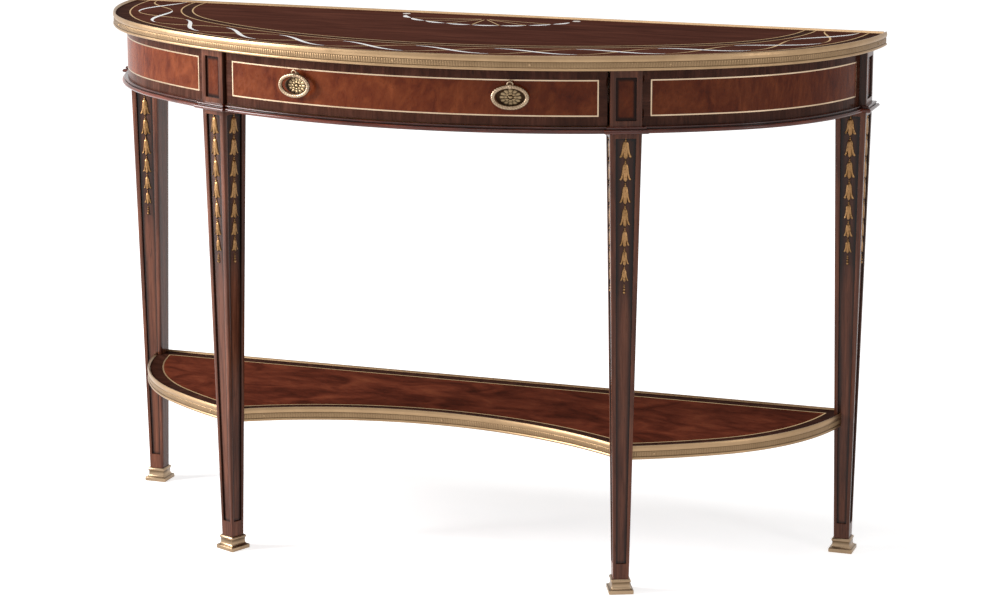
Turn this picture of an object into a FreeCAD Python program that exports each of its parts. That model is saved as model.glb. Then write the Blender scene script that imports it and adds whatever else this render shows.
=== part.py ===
import FreeCAD, Part
import os
from collections import namedtuple
from math import acos, asin, atan, cos, degrees, pi, sin, sqrt
from types import SimpleNamespace
from FreeCAD import Placement, Rotation, Vector

# Half-oval console table with one bowed drawer, four tapered legs and a low shelf.
# Frame: +Z up, front towards -Y, origin on the floor under the middle of the top.

# Driving dimensions: millimetres, angles in degrees, counts
SIZES = {
    # Top and its brass edge
    "top_width": 1400,
    "top_depth": 500,
    "table_height": 905,
    "end_share": 0.81,
    "edge_height": 23.5,
    "edge_thickness": 5,
    "edge_lip": 3.5,
    "edge_bead": 4,
    "edge_band": 8.5,
    "edge_groove": 0.9,
    "pin_diameter": 4,
    "pin_length": 14,
    "pin_end_gap": 51,
    "pin_count": 9,
    # Veneer and inlay of the top
    "veneer_thickness": 1,
    "string_width": 2.5,
    "border_width": 24,
    "ribbon_zone_width": 88.5,
    "dark_band_width": 17.5,
    "ribbon_end_gap": 4.2,
    "ribbon_swing": 29.5,
    "ribbon_strokes": 12,
    "pearl_width": 7.5,
    "ribbon_brass_width": 3.8,
    "stroke_taper": 0.2,
    "fan_half_width": 160,
    "fan_depth": 120,
    "fan_scallops": 8,
    "fan_bulge": 8,
    "fan_pearl_width": 10,
    "fan_ball_radius": 7,
    "fan_hub_depth": 45,
    "fan_hub_radius": 8,
    "fan_ray_width": 2.2,
    "fan_gap": 1.6,
    # Frieze, its stringing and base moulding
    "frieze_inset": 24,
    "frieze_height": 104,
    "frieze_thickness": 22,
    "string_depth": 1.2,
    "string_top_gap": 17.75,
    "string_bottom_gap": 26.75,
    "string_end_gap": 14,
    "moulding_height": 11,
    "moulding_reach": 10.5,
    "moulding_bead": 6.6,
    "moulding_round": 2.5,
    "moulding_step": 4.5,
    # Legs and their brass shoes
    "leg_width": 52.3,
    "foot_width": 26,
    "leg_proud": 5.5,
    "front_leg_share": 0.6723,
    "rear_leg_setback": 18,
    "recess_depth": 3,
    "recess_margin": 9.6,
    "recess_foot_margin": 5.3,
    "recess_top_gap": 8.5,
    "recess_foot_gap": 51,
    "pilaster_low_gap": 20,
    "pilaster_high_gap": 13.5,
    "sabot_height": 24.7,
    "sabot_width": 41.5,
    "sabot_collar_width": 33,
    "sabot_waist_width": 30.5,
    "sabot_plinth": 7.2,
    "sabot_collar": 5.6,
    "sabot_round": 1.2,
    "sabot_floor": 4,
    # Bellflower drops
    "bell_count": 7,
    "bell_full_count": 4,
    "bell_height": 34.5,
    "bell_last_height": 24.5,
    "bell_width": 20,
    "bell_last_width": 14,
    "bell_neck": 7,
    "bell_gap": 2.5,
    "bell_top_gap": 1.5,
    "bell_thickness": 2.2,
    "bell_waist_share": 0.6,
    "bell_corner_share": 0.885,
    "bell_notch_share": 0.915,
    "bell_petal_share": 0.965,
    "drop_height": 19,
    "drop_width": 7,
    # Rails, runners and fastenings
    "back_rail_thickness": 20,
    "lower_rail_width": 60,
    "lower_rail_thickness": 11,
    "upper_rail_width": 54,
    "upper_rail_thickness": 12,
    "tenon_length": 36,
    "tenon_thickness": 9,
    "tenon_height": 60,
    "rail_tenon_width": 16,
    "rail_tenon_height": 5,
    "runner_width": 26,
    "runner_height": 17.2,
    "guide_thickness": 5.5,
    "guide_height": 20,
    "block_length": 60,
    "block_size": 20,
    "screw_diameter": 4,
    "screw_head": 8,
    "screw_head_height": 3,
    "screw_bite": 12,
    # Drawer
    "drawer_end_gap": 3.5,
    "drawer_gap": 1,
    "drawer_stop_gap": 0.5,
    "run_clearance": 0.3,
    "guide_clearance": 0.5,
    "drawer_box_gap": 40,
    "drawer_side_thickness": 12,
    "drawer_side_height": 67,
    "drawer_back_clearance": 17,
    "drawer_back_thickness": 12,
    "drawer_back_drop": 4,
    "drawer_bottom_thickness": 6,
    "drawer_bottom_rise": 3,
    "drawer_groove": 6,
    "drawer_housing": 8,
    # Ring pulls
    "pull_share": 0.593,
    "ring_width": 62,
    "ring_height": 40,
    "ring_end_radius": 11,
    "ring_tube": 5.4,
    "ring_rise": 1,
    "ring_standoff": 9,
    "ring_clearance": 1.2,
    "pull_plate_width": 46,
    "pull_plate_height": 28,
    "pull_plate_end_radius": 9.5,
    "pull_plate_thickness": 0.6,
    "rosette_width": 33.5,
    "rosette_height": 25,
    "rosette_end_radius": 8.5,
    "rosette_thickness": 3,
    "knuckle_radius": 6.8,
    "knuckle_neck": 7,
    "bolt_diameter": 5,
    "bolt_tail": 6,
    "nut_width": 9,
    "nut_thickness": 4,
    "nut_gap": 0.05,
    # Shelf
    "shelf_surface": 246.5,
    "shelf_thickness": 19,
    "shelf_lip": 3,
    "shelf_back_inset": 28,
    "shelf_waist_share": 0.561,
    "shelf_string_gap": 27,
    "shelf_pin_gap": 32,
    "dowel_diameter": 8,
    "dowel_length": 45,
}

doc = FreeCAD.newDocument("DemiluneTable")
sheet = doc.addObject("Spreadsheet::Sheet", "Dims")
for row, (name, size) in enumerate(SIZES.items(), 1):
    sheet.set(f"A{row}", name)
    sheet.set(f"B{row}", str(size))
    sheet.setAlias(f"B{row}", name)
doc.recompute()
D = SimpleNamespace(**{name: sheet.get(name) for name in SIZES})

# Heights above the floor, as formulas for the document and as numbers for outlines
UNDERSIDE = "(Dims.table_height - Dims.edge_height)"
VENEER_LOW = "(Dims.table_height - Dims.edge_lip - Dims.veneer_thickness)"
FRIEZE_LOW = f"({UNDERSIDE} - Dims.frieze_height)"
DRAWER_LOW = f"({FRIEZE_LOW} + Dims.moulding_height + Dims.drawer_gap)"
DRAWER_HIGH = f"({UNDERSIDE} - Dims.drawer_gap)"
SIDE_LOW = f"({FRIEZE_LOW} + Dims.runner_height + Dims.run_clearance)"
SIDE_HIGH = f"({SIDE_LOW} + Dims.drawer_side_height)"
BOTTOM_LOW = f"({SIDE_LOW} + Dims.drawer_bottom_rise)"
SHELF_LOW = "(Dims.shelf_surface - Dims.shelf_thickness)"
SHELF_EDGE_LOW = "(Dims.shelf_surface + Dims.shelf_lip - Dims.edge_height)"
underside = D.table_height - D.edge_height
veneer_low = D.table_height - D.edge_lip - D.veneer_thickness
frieze_low = underside - D.frieze_height
drawer_low = frieze_low + D.moulding_height + D.drawer_gap
drawer_high = underside - D.drawer_gap
side_low = frieze_low + D.runner_height + D.run_clearance
side_high = side_low + D.drawer_side_height
bottom_high = side_low + D.drawer_bottom_rise + D.drawer_bottom_thickness
shelf_edge_low = D.shelf_surface + D.shelf_lip - D.edge_height

# Plan curve of the top: a front arc that runs tangent into two end arcs
END_RADIUS = "(Dims.top_depth * Dims.end_share)"
FRONT_RADIUS = (f"(((Dims.top_width / 2)^2 + Dims.top_depth^2 - Dims.top_width * {END_RADIUS})"
                f" / (2 * (Dims.top_depth - {END_RADIUS})))")
END_X = f"(Dims.top_width / 2 - {END_RADIUS})"
TURN = f"asin({END_X} / ({FRONT_RADIUS} - {END_RADIUS}))"
half_width = D.top_width / 2
back_y = D.top_depth / 2
end_radius = D.top_depth * D.end_share
front_radius = ((half_width ** 2 + D.top_depth ** 2 - D.top_width * end_radius)
                / (2 * (D.top_depth - end_radius)))
front_y = front_radius - back_y
end_x = half_width - end_radius
turn = asin(end_x / (front_radius - end_radius))

# Insets from the outline of the top
leg_inset = D.frieze_inset - D.leg_proud + D.leg_width / 2
front_back = D.frieze_inset + D.frieze_thickness
lead = turn * D.front_leg_share

UP = Vector(0, 0, 1)
ACROSS = Vector(1, 0, 0)
SKETCH_TOUCH = 0.001
nodes = {}


# Outlines

def spot(inset, angle, z=0.0):
    """Point of the plan curve moved inwards, where its outward normal stands at an angle to the front."""
    on_end = abs(angle) > turn
    side = 1 if angle > 0 else -1
    radius = (end_radius if on_end else front_radius) - inset
    centre = Vector(side * end_x, back_y, z) if on_end else Vector(0, front_y, z)
    return centre + Vector(radius * sin(angle), -radius * cos(angle), 0)


def along(inset, start, stop):
    """Arcs of the plan curve moved inwards, from one direction of its normal to a greater one."""
    stops = [start] + [a for a in (-turn, turn) if start < a < stop] + [stop]
    return [Part.Arc(spot(inset, a), spot(inset, (a + b) / 2), spot(inset, b))
            for a, b in zip(stops, stops[1:])]


def line(start, stop):
    return Part.LineSegment(start, stop)


def polygon(*points):
    return [line(p, q) for p, q in zip(points, points[1:] + points[:1])]


def band(outer, inner, start, stop):
    """Closed strip between two insets, cut square to the plan curve at both ends."""
    ends = [line(spot(outer, a), spot(inner, a)) for a in (start, stop)]
    return along(outer, start, stop) + along(inner, start, stop) + ends


def back_angle(inset, gap):
    """Direction of the normal where the inset plan curve comes within a gap of the back edge."""
    return acos(gap / (end_radius - inset))


def horseshoe(outer, inner, gap):
    """Closed strip between two insets, cut off straight at a gap from the back edge."""
    a, b = back_angle(outer, gap), back_angle(inner, gap)
    ends = [line(spot(outer, side * a), spot(inner, side * b)) for side in (-1, 1)]
    return along(outer, -a, a) + along(inner, -b, b) + ends


def half_oval(inset, gap):
    """Closed half oval, inset from the plan curve, with a straight back."""
    a = back_angle(inset, gap)
    return along(inset, -a, a) + [line(spot(inset, -a), spot(inset, a))]


def angle_at(inset, length):
    """Direction of the normal at a distance along the inset plan curve from the middle of its front."""
    front = (front_radius - inset) * turn
    if abs(length) <= front:
        return length / (front_radius - inset)
    angle = turn + (abs(length) - front) / (end_radius - inset)
    return angle if length > 0 else -angle


def half_length(inset):
    """Length of the inset plan curve from the middle of its front to the back edge."""
    return (front_radius - inset) * turn + (end_radius - inset) * (pi / 2 - turn)


def curve_y(inset, x):
    """Where the inset front arc lies at a distance from the middle."""
    return front_y - sqrt((front_radius - inset) ** 2 - x ** 2)


def oval(width, height, tip):
    """Closed oval of four tangent arcs about the origin, split at the top of its upright axis."""
    a, b = width / 2, height / 2
    radius = (a * a + b * b - 2 * a * tip) / (2 * (b - tip))
    meet = asin((a - tip) / (radius - tip))
    runs = [(0, b - radius, radius, 0, meet), (a - tip, 0, tip, meet, pi - meet),
            (0, radius - b, radius, pi - meet, pi + meet),
            (tip - a, 0, tip, pi + meet, 2 * pi - meet), (0, b - radius, radius, -meet, 0)]

    def at(x, y, r, angle):
        return Vector(x + r * sin(angle), y + r * cos(angle), 0)

    return [Part.Arc(at(x, y, r, q), at(x, y, r, (p + q) / 2), at(x, y, r, p)) for x, y, r, p, q in runs]


# Document objects

def keep(label, obj):
    """Name an object as one of the sub-parts."""
    obj.Label = label
    nodes[label] = obj
    return obj


def bind(obj, **sizes):
    """Set sizes of an object: a formula is tied to the sheet, a number worked out from it is set."""
    for name, size in sizes.items():
        if isinstance(size, str):
            obj.setExpression(name, size)
        else:
            setattr(obj, name, size)
    return obj


def box(length, width, height, corner, frame=Placement()):
    """Box with its corner placed in a frame."""
    piece = bind(doc.addObject("Part::Box", "box"), Length=length, Width=width, Height=height)
    piece.Placement = frame.multiply(Placement(corner, Rotation()))
    return piece


def rod(diameter, length, start, direction):
    """Cylinder from a point along a direction."""
    piece = bind(doc.addObject("Part::Cylinder", "rod"), Radius=f"{diameter} / 2", Height=length)
    piece.Placement = Placement(start, Rotation(UP, direction))
    return piece


def fuse(*pieces):
    joined = doc.addObject("Part::MultiFuse", "fuse")
    joined.Shapes = list(pieces)
    return joined


def cut(base, *tools):
    piece = doc.addObject("Part::Cut", "cut")
    piece.Base = base
    piece.Tool = tools[0] if len(tools) == 1 else fuse(*tools)
    return piece


def common(base, tool):
    piece = doc.addObject("Part::Common", "common")
    piece.Base = base
    piece.Tool = tool
    return piece


def group(*pieces):
    together = doc.addObject("Part::Compound", "group")
    together.Links = list(pieces)
    return together


def feature(shape, place=Placement()):
    piece = doc.addObject("Part::Feature", "shape")
    piece.Shape = shape
    piece.Placement = place
    return piece


def draw(body, role, edges, offset="0", axis=None):
    """Sketch on one of a body's own origin planes, with an axis line where it is to be turned."""
    sketch = body.newObject("Sketcher::SketchObject", "sketch")
    plane = next(f for f in body.Origin.OriginFeatures if f.Role == role)
    sketch.AttachmentSupport = (plane, "")
    sketch.MapMode = "FlatFace"
    sketch.setExpression("AttachmentOffset.Base.z", offset)
    sketch.addGeometry(edges, False)
    if axis is not None:
        sketch.addGeometry([line(Vector(axis, 0, 0), Vector(axis, D.table_height, 0))], True)
    sketch.detectMissingPointOnPointConstraints(SKETCH_TOUCH)
    sketch.makeMissingPointOnPointCoincident()
    return sketch


def pad(body, sketch, length, both_ways=False):
    raised = body.newObject("PartDesign::Pad", "pad")
    raised.Profile = sketch
    raised.Midplane = both_ways
    return bind(raised, Length=length)


def plate(edges, low, thickness):
    """Flat piece of a plan outline, raised from a height above the floor."""
    body = doc.addObject("PartDesign::Body", "plate")
    pad(body, draw(body, "XY_Plane", edges, low), thickness)
    return body


def turned(body, sketch, angle, both_ways=False):
    revolved = body.newObject("PartDesign::Revolution", "turned")
    revolved.Profile = sketch
    revolved.ReferenceAxis = (sketch, ["Axis0"])
    revolved.Midplane = both_ways
    revolved.Reversed = not both_ways
    return bind(revolved, Angle=angle)


def moulded_horseshoe(section):
    """Section carried round the whole plan curve: front arc, right end arc and its mirror image."""
    body = doc.addObject("PartDesign::Body", "moulded")
    front = section(lambda depth, z: Vector(depth - back_y, z, 0))
    turned(body, draw(body, "YZ_Plane", front, axis=front_y), f"2 * {TURN}", True)
    end = section(lambda depth, z: Vector(half_width - depth, z, 0))
    right = turned(body, draw(body, "XZ_Plane", end, "-Dims.top_depth / 2", end_x), f"90 deg - {TURN}")
    mirror = body.newObject("PartDesign::Mirrored", "mirror")
    mirror.Originals = [right]
    plane = next(f for f in body.Origin.OriginFeatures if f.Role == "YZ_Plane")
    mirror.MirrorPlane = (plane, [""])
    body.Tip = mirror
    return body


def edge_section(inset, low):
    """Brass edging: round bead, flat band and rounded lip, over a depth inwards and a height."""
    t, h, g = D.edge_thickness, D.edge_height, D.edge_groove
    band_low = D.edge_bead + g
    band_high = band_low + D.edge_band
    lip_low = band_high + g

    def section(at):
        def p(depth, z):
            return at(inset + depth, low + z)

        return [Part.Arc(p(g, 0), p(0, D.edge_bead / 2), p(g, D.edge_bead)),
                line(p(g, D.edge_bead), p(2 * g, D.edge_bead)),
                line(p(2 * g, D.edge_bead), p(2 * g, band_low)),
                line(p(2 * g, band_low), p(g, band_low)), line(p(g, band_low), p(g, band_high)),
                line(p(g, band_high), p(2 * g, band_high)), line(p(2 * g, band_high), p(2 * g, lip_low)),
                line(p(2 * g, lip_low), p(g, lip_low)),
                Part.Arc(p(g, lip_low), p(0, (lip_low + h - g) / 2), p(g, h - g)),
                line(p(g, h - g), p(2 * g, h)), line(p(2 * g, h), p(t, h)),
                line(p(t, h), p(t, 0)), line(p(t, 0), p(g, 0))]

    return section


def moulding_section(at):
    """Base moulding: large bead below a small one, over a reach out from the face and a height."""
    bead, top = D.moulding_bead, D.moulding_height
    shoulder = D.moulding_reach - D.moulding_round
    step = D.moulding_step
    return [line(at(0, 0), at(shoulder, 0)),
            Part.Arc(at(shoulder, 0), at(D.moulding_reach, bead / 2), at(shoulder, bead)),
            line(at(shoulder, bead), at(step, bead)),
            Part.Arc(at(step, bead), at(step + (top - bead) / 2, (bead + top) / 2), at(step, top)),
            line(at(step, top), at(0, top)), line(at(0, top), at(0, 0))]


# Legs: each stands in a frame whose -Y looks out of the table

Leg = namedtuple("Leg", "name side frame stile taper")


def on_leg(foot, top, z):
    """Formula of a size that runs straight from its value at the foot to its value under the frieze."""
    return f"({foot} + ({top} - {foot}) * ({z} - Dims.sabot_floor) / ({FRIEZE_LOW} - Dims.sabot_floor))"


def leg_half(z):
    return on_leg("Dims.foot_width / 2", "Dims.leg_width / 2", z)


def recess_half(z):
    foot = "(Dims.foot_width / 2 - Dims.recess_foot_margin)"
    return on_leg(foot, "(Dims.leg_width / 2 - Dims.recess_margin)", z)


def facing(leg_frame, angle):
    """Frame of one face of a leg: X across it, Y up, Z out of it."""
    upright = Rotation(UP, angle).multiply(Rotation(ACROSS, 90))
    return leg_frame.multiply(Placement(Vector(), upright))


def start_leg(name, side, centre, angle):
    frame = Placement(centre, Rotation(UP, angle))
    corner = Vector(-D.leg_width / 2, -D.leg_width / 2, frieze_low)
    stile = box("Dims.leg_width", "Dims.leg_width", "Dims.frieze_height", corner, frame)
    low, high = "Dims.foot_width / 2", "Dims.leg_width / 2"
    taper = bind(doc.addObject("Part::Wedge", "taper"), Ymin="Dims.sabot_floor", Ymax=FRIEZE_LOW,
                 Xmin=f"-{low}", Xmax=low, Zmin=f"-{low}", Zmax=low,
                 X2min=f"-{high}", X2max=high, Z2min=f"-{high}", Z2max=high)
    taper.Placement = facing(frame, 0)
    return Leg(name, side, frame, stile, taper)


front_legs = [start_leg(f"front_{name}", side, spot(leg_inset, side * lead), side * degrees(lead))
              for name, side in (("left", -1), ("right", 1))]
rear_y = back_y - D.rear_leg_setback - D.leg_width / 2
rear_legs = [start_leg(f"rear_{name}", side, Vector(side * (half_width - leg_inset), rear_y, 0), side * 90)
             for name, side in (("left", -1), ("right", 1))]
legs = front_legs + rear_legs
front_stiles = [leg.stile for leg in front_legs]
pairs = list(zip(("left", "right"), (-1, 1), front_legs, rear_legs))


def recess(leg, angle, low, high):
    """Sunk panel of a tapered face, between two heights, its floor level with the face."""
    sink = "Dims.recess_depth"
    sunk = bind(doc.addObject("Part::Wedge", "recess"), Ymin=low, Ymax=high,
                Xmin=f"-{recess_half(low)}", Xmax=recess_half(low),
                X2min=f"-{recess_half(high)}", X2max=recess_half(high),
                Zmin=f"{leg_half(low)} - {sink}", Zmax=f"{leg_half(low)} + {sink}",
                Z2min=f"{leg_half(high)} - {sink}", Z2max=f"{leg_half(high)} + {sink}")
    sunk.Placement = facing(leg.frame, angle)
    return sunk


def recesses(leg):
    """Sunk panels: stile and whole leg outwards, and the next face above and below the shelf."""
    low, high = "Dims.recess_foot_gap", f"({FRIEZE_LOW} - Dims.recess_top_gap)"
    second = -90 * leg.side
    stile_low = frieze_low + D.pilaster_low_gap
    corner = Vector(D.recess_margin - D.leg_width / 2, -D.leg_width / 2 - D.recess_depth, stile_low)
    stile = box("Dims.leg_width - 2 * Dims.recess_margin", "2 * Dims.recess_depth",
                "Dims.frieze_height - Dims.pilaster_low_gap - Dims.pilaster_high_gap", corner, leg.frame)
    shelf_top = f"({SHELF_EDGE_LOW} + Dims.edge_height)"
    return [stile, recess(leg, 0, low, high), recess(leg, second, low, SHELF_EDGE_LOW),
            recess(leg, second, shelf_top, high)]


# Loose tenons between legs and rails

def tenon(leg, angle, shift, width, height, low):
    """Loose tenon half in a leg and half in what meets its face, shifted across that face."""
    frame = leg.frame.multiply(Placement(Vector(), Rotation(UP, angle)))
    corner = Vector(shift - getattr(D, width) / 2, -(D.leg_width + D.tenon_length) / 2, low)
    return box(f"Dims.{width}", "Dims.tenon_length", f"Dims.{height}", corner, frame)


frieze_middle = D.frieze_inset + D.frieze_thickness / 2
frieze_shift = leg_inset - frieze_middle
rear_tenon_angle = back_angle(frieze_middle, D.rear_leg_setback + D.leg_width + D.tenon_length / 4)
rear_frieze_shift = spot(frieze_middle, rear_tenon_angle).x - half_width + leg_inset
frieze_tenon_low = frieze_low + (D.frieze_height - D.tenon_height) / 2
lower_tenon_low = frieze_low + (D.lower_rail_thickness - D.rail_tenon_height) / 2
upper_tenon_low = underside - (D.upper_rail_thickness + D.rail_tenon_height) / 2
upper_rail_inset = front_back + D.drawer_stop_gap
upper_shift = (leg_inset + D.leg_width / 2 - upper_rail_inset) / 2 - D.leg_width / 2
upright = ("tenon_thickness", "tenon_height", frieze_tenon_low)
lower_flat = ("rail_tenon_width", "rail_tenon_height", lower_tenon_low)
upper_flat = ("rail_tenon_width", "rail_tenon_height", upper_tenon_low)
tenons = {}
for leg in front_legs:
    out, inwards = 90 * leg.side, -90 * leg.side
    tenons[leg.name] = [tenon(leg, out, -leg.side * frieze_shift, *upright),
                        tenon(leg, inwards, 0, *lower_flat),
                        tenon(leg, inwards, leg.side * upper_shift, *upper_flat)]
for leg in rear_legs:
    back_shift = leg.side * (D.back_rail_thickness - D.leg_width) / 2
    tenons[leg.name] = [tenon(leg, -90 * leg.side, leg.side * rear_frieze_shift, *upright),
                        tenon(leg, 180, back_shift, *upright)]
keep("loose_tenons", group(*[piece for leg in legs for piece in tenons[leg.name]]))


def shelf_dowel(leg, direction):
    """Dowel from a leg's axis into the shelf, midway between the two edges that meet there."""
    start = leg.frame.Base + Vector(0, 0, D.shelf_surface - D.shelf_thickness / 2)
    return rod("Dims.dowel_diameter", "Dims.dowel_length", start, direction)


dowels = {leg.name: shelf_dowel(leg, Vector(0, 1, 0)) for leg in front_legs}
dowels.update({leg.name: shelf_dowel(leg, Vector(-leg.side, -1, 0)) for leg in rear_legs})
keep("shelf_dowels", group(*dowels.values()))

for leg in legs:
    keep(f"leg_{leg.name}", cut(fuse(leg.stile, leg.taper), *recesses(leg), *tenons[leg.name],
                                dowels[leg.name]))


# Brass shoes and capitals of the legs

def sabot(leg):
    """Square moulded shoe, a ruled loft of squares hollowed for the foot of the leg."""
    width, waist, collar = "Dims.sabot_width", "Dims.sabot_waist_width", "Dims.sabot_collar_width"
    ease = "Dims.sabot_round"
    collar_low = "(Dims.sabot_height - Dims.sabot_collar)"
    levels = [("0", f"{width} - 2 * {ease}"), (ease, width), (f"Dims.sabot_plinth - {ease}", width),
              ("Dims.sabot_plinth", f"{width} - 2 * {ease}"),
              ("Dims.sabot_plinth + Dims.sabot_round", f"{waist} + 4 * {ease}"),
              (f"(Dims.sabot_plinth + {collar_low}) / 2", f"{waist} + {ease}"), (collar_low, waist),
              (f"{collar_low} + {ease}", collar), (f"Dims.sabot_height - {ease}", collar),
              ("Dims.sabot_height", f"{collar} - 2 * {ease}")]
    squares = []
    for height, side in levels:
        square = bind(doc.addObject("Part::RegularPolygon", "square"), Circumradius=f"({side}) / sqrt(2)")
        square.Polygon = 4
        square.Placement = leg.frame.multiply(Placement(Vector(), Rotation(UP, 45)))
        square.setExpression("Placement.Base.z", height)
        squares.append(square)
    block = doc.addObject("Part::Loft", "loft")
    block.Sections = squares
    block.Solid = True
    block.Ruled = True
    return cut(block, leg.taper)


def capital(leg):
    """Base moulding broken round the outward face of a leg and back to the frieze."""
    half = D.leg_width / 2
    body = doc.addObject("PartDesign::Body", "capital")
    body.Placement = leg.frame.multiply(Placement(Vector(0, 0, frieze_low), Rotation()))
    corners = [Vector(-half, D.leg_proud - half, 0), Vector(-half, -half, 0), Vector(half, -half, 0),
               Vector(half, D.leg_proud - half, 0)]
    path = draw(body, "XY_Plane", [line(p, q) for p, q in zip(corners, corners[1:])])
    outline = moulding_section(lambda reach, z: Vector(-half - reach, z, 0))
    pipe = body.newObject("PartDesign::AdditivePipe", "pipe")
    pipe.Profile = draw(body, "XZ_Plane", outline, "Dims.leg_width / 2 - Dims.leg_proud")
    pipe.Spine = (path, ["Edge1", "Edge2", "Edge3"])
    pipe.Transition = "Right corner"
    return body


for leg in legs:
    keep(f"sabot_{leg.name}", sabot(leg))
capitals = {leg.name: capital(leg) for leg in legs}
keep("leg_capitals", group(*capitals.values()))


# Bellflower drops

taper_angle = degrees(atan((D.leg_width - D.foot_width) / 2 / (frieze_low - D.sabot_floor)))


def bell_outline(width, height):
    """Three-petalled husk hanging from the origin: narrow neck, flared sides and a scalloped hem."""
    neck, side = D.bell_neck / 2, width / 2
    hem = side / 3
    edges = [line(Vector(-neck, 0, 0), Vector(neck, 0, 0))]
    for s in (-1, 1):
        start = Vector(s * neck, 0, 0)
        waist = Vector(s * (neck + side) / 2, -height * D.bell_waist_share, 0)
        corner = Vector(s * side, -height * D.bell_corner_share, 0)
        petal = Vector(s * 2 * hem, -height * D.bell_petal_share, 0)
        notch = Vector(s * hem, -height * D.bell_notch_share, 0)
        edges += [Part.Arc(start, waist, corner), Part.Arc(corner, petal, notch)]
    return edges + [Part.Arc(notch, Vector(0, -height, 0), Vector(-notch.x, notch.y, 0))]


def solid(edges, thickness):
    """Flat outline raised by a thickness."""
    wire = Part.Wire(Part.__sortEdges__([edge.toShape() for edge in edges]))
    return Part.Face(wire).extrude(Vector(0, 0, thickness))


def bells(leg, angle):
    """String of husks, the lower ones ever shorter, with a bead drop at the end, on a recess floor."""
    z = frieze_low - D.recess_top_gap - D.bell_top_gap
    pieces = []
    for step in range(int(D.bell_count) + 1):
        fade = max(0, step + 1 - D.bell_full_count) / (D.bell_count - D.bell_full_count)
        height = D.bell_height + fade * (D.bell_last_height - D.bell_height)
        share = step / (D.bell_count - 1)
        width = D.bell_width + share * (D.bell_last_width - D.bell_width)
        if step < D.bell_count:
            piece = solid(bell_outline(width, height), D.bell_thickness)
        else:
            height = D.drop_height
            piece = solid(oval(D.drop_height, D.drop_width, D.drop_width / 3), D.bell_thickness)
            piece.rotate(Vector(), UP, 90)
            piece.translate(Vector(0, -height / 2, 0))
        rise = (z - D.sabot_floor) / (frieze_low - D.sabot_floor)
        floor = (D.foot_width + (D.leg_width - D.foot_width) * rise) / 2 - D.recess_depth
        lean = Placement(Vector(0, z, floor), Rotation(ACROSS, taper_angle))
        pieces.append(feature(piece, facing(leg.frame, angle).multiply(lean)))
        z -= height + D.bell_gap
    return pieces


for leg in legs:
    keep(f"bellflowers_{leg.name}", group(*bells(leg, 0), *bells(leg, -90 * leg.side)))


# Frieze panels, stringing and base moulding

def string_loop(inset, start, stop):
    """Thin brass rectangle let into a curved face."""
    low = f"{FRIEZE_LOW} + Dims.string_bottom_gap"
    height = "(Dims.frieze_height - Dims.string_bottom_gap - Dims.string_top_gap)"
    step = D.string_width / (front_radius - inset)
    whole = plate(band(inset, inset + D.string_depth, start, stop), low, height)
    inside = plate(band(inset - D.string_depth, inset + 2 * D.string_depth, start + step, stop - step),
                   f"{low} + Dims.string_width", f"{height} - 2 * Dims.string_width")
    return cut(whole, inside)


frieze_radius = front_radius - D.frieze_inset
rear_angle = back_angle(D.frieze_inset, back_y - rear_y)
string_lead = lead + (D.leg_width / 2 + D.string_end_gap) / frieze_radius
string_rear = back_angle(D.frieze_inset, D.rear_leg_setback + D.leg_width + D.string_end_gap)
frieze_strings = []
for name, side, front, rear in pairs:
    panel = plate(band(D.frieze_inset, front_back, *sorted((side * lead, side * rear_angle))),
                  FRIEZE_LOW, "Dims.frieze_height")
    string = string_loop(D.frieze_inset, *sorted((side * string_lead, side * string_rear)))
    frieze_strings.append(string)
    keep(f"frieze_{name}", cut(panel, front.stile, rear.stile, tenons[front.name][0],
                               tenons[rear.name][0], string))
keep("frieze_strings", group(*frieze_strings))


def moulding_at(at):
    return moulding_section(lambda reach, z: at(D.frieze_inset - reach, frieze_low + z))


moulding = moulded_horseshoe(moulding_at)
front_span = front_legs[1].frame.Base.x
front_zone = box(2 * front_span, "Dims.top_depth", "Dims.moulding_height",
                 Vector(-front_span, -back_y, frieze_low))
front_capitals = [capitals[leg.name] for leg in front_legs]
keep("base_moulding_front", cut(common(moulding, front_zone), *front_capitals, *front_stiles))
for name, side, front, rear in pairs:
    corner = Vector(front_span if side > 0 else -half_width, -back_y, frieze_low)
    zone = box(half_width - front_span, rear_y + back_y, "Dims.moulding_height", corner)
    keep(f"base_moulding_{name}", cut(common(moulding, zone), capitals[front.name], capitals[rear.name],
                                      front.stile, rear.stile))


# Rails behind and under the frieze

rail_back = back_y - D.rear_leg_setback
rail_front = rail_back - D.back_rail_thickness
rail_end = half_width - leg_inset - D.leg_width / 2
rail_length = "Dims.top_width - 2 * (Dims.frieze_inset - Dims.leg_proud + Dims.leg_width)"
rail = box(rail_length, "Dims.back_rail_thickness", "Dims.frieze_height",
           Vector(-rail_end, rail_front, frieze_low))
keep("back_rail", cut(rail, *[tenons[leg.name][1] for leg in rear_legs]))
lower_blank = plate(band(D.frieze_inset, D.frieze_inset + D.lower_rail_width, -lead, lead),
                    FRIEZE_LOW, "Dims.lower_rail_thickness")
keep("lower_rail", cut(lower_blank, *front_stiles, *[tenons[leg.name][1] for leg in front_legs]))
upper_blank = plate(band(upper_rail_inset, upper_rail_inset + D.upper_rail_width, -lead, lead),
                    f"{UNDERSIDE} - Dims.upper_rail_thickness", "Dims.upper_rail_thickness")


# Drawer runners and kickers

box_half = front_legs[1].frame.Base.x - D.drawer_box_gap
runner_out = box_half + D.guide_clearance + D.guide_thickness
runner_front = curve_y(upper_rail_inset, runner_out)
runner_length = rail_front - runner_front


def beside(side, x_out, width):
    """Left edge of a strip that ends at a distance from the middle, on either side."""
    return x_out - width if side > 0 else -x_out


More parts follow.
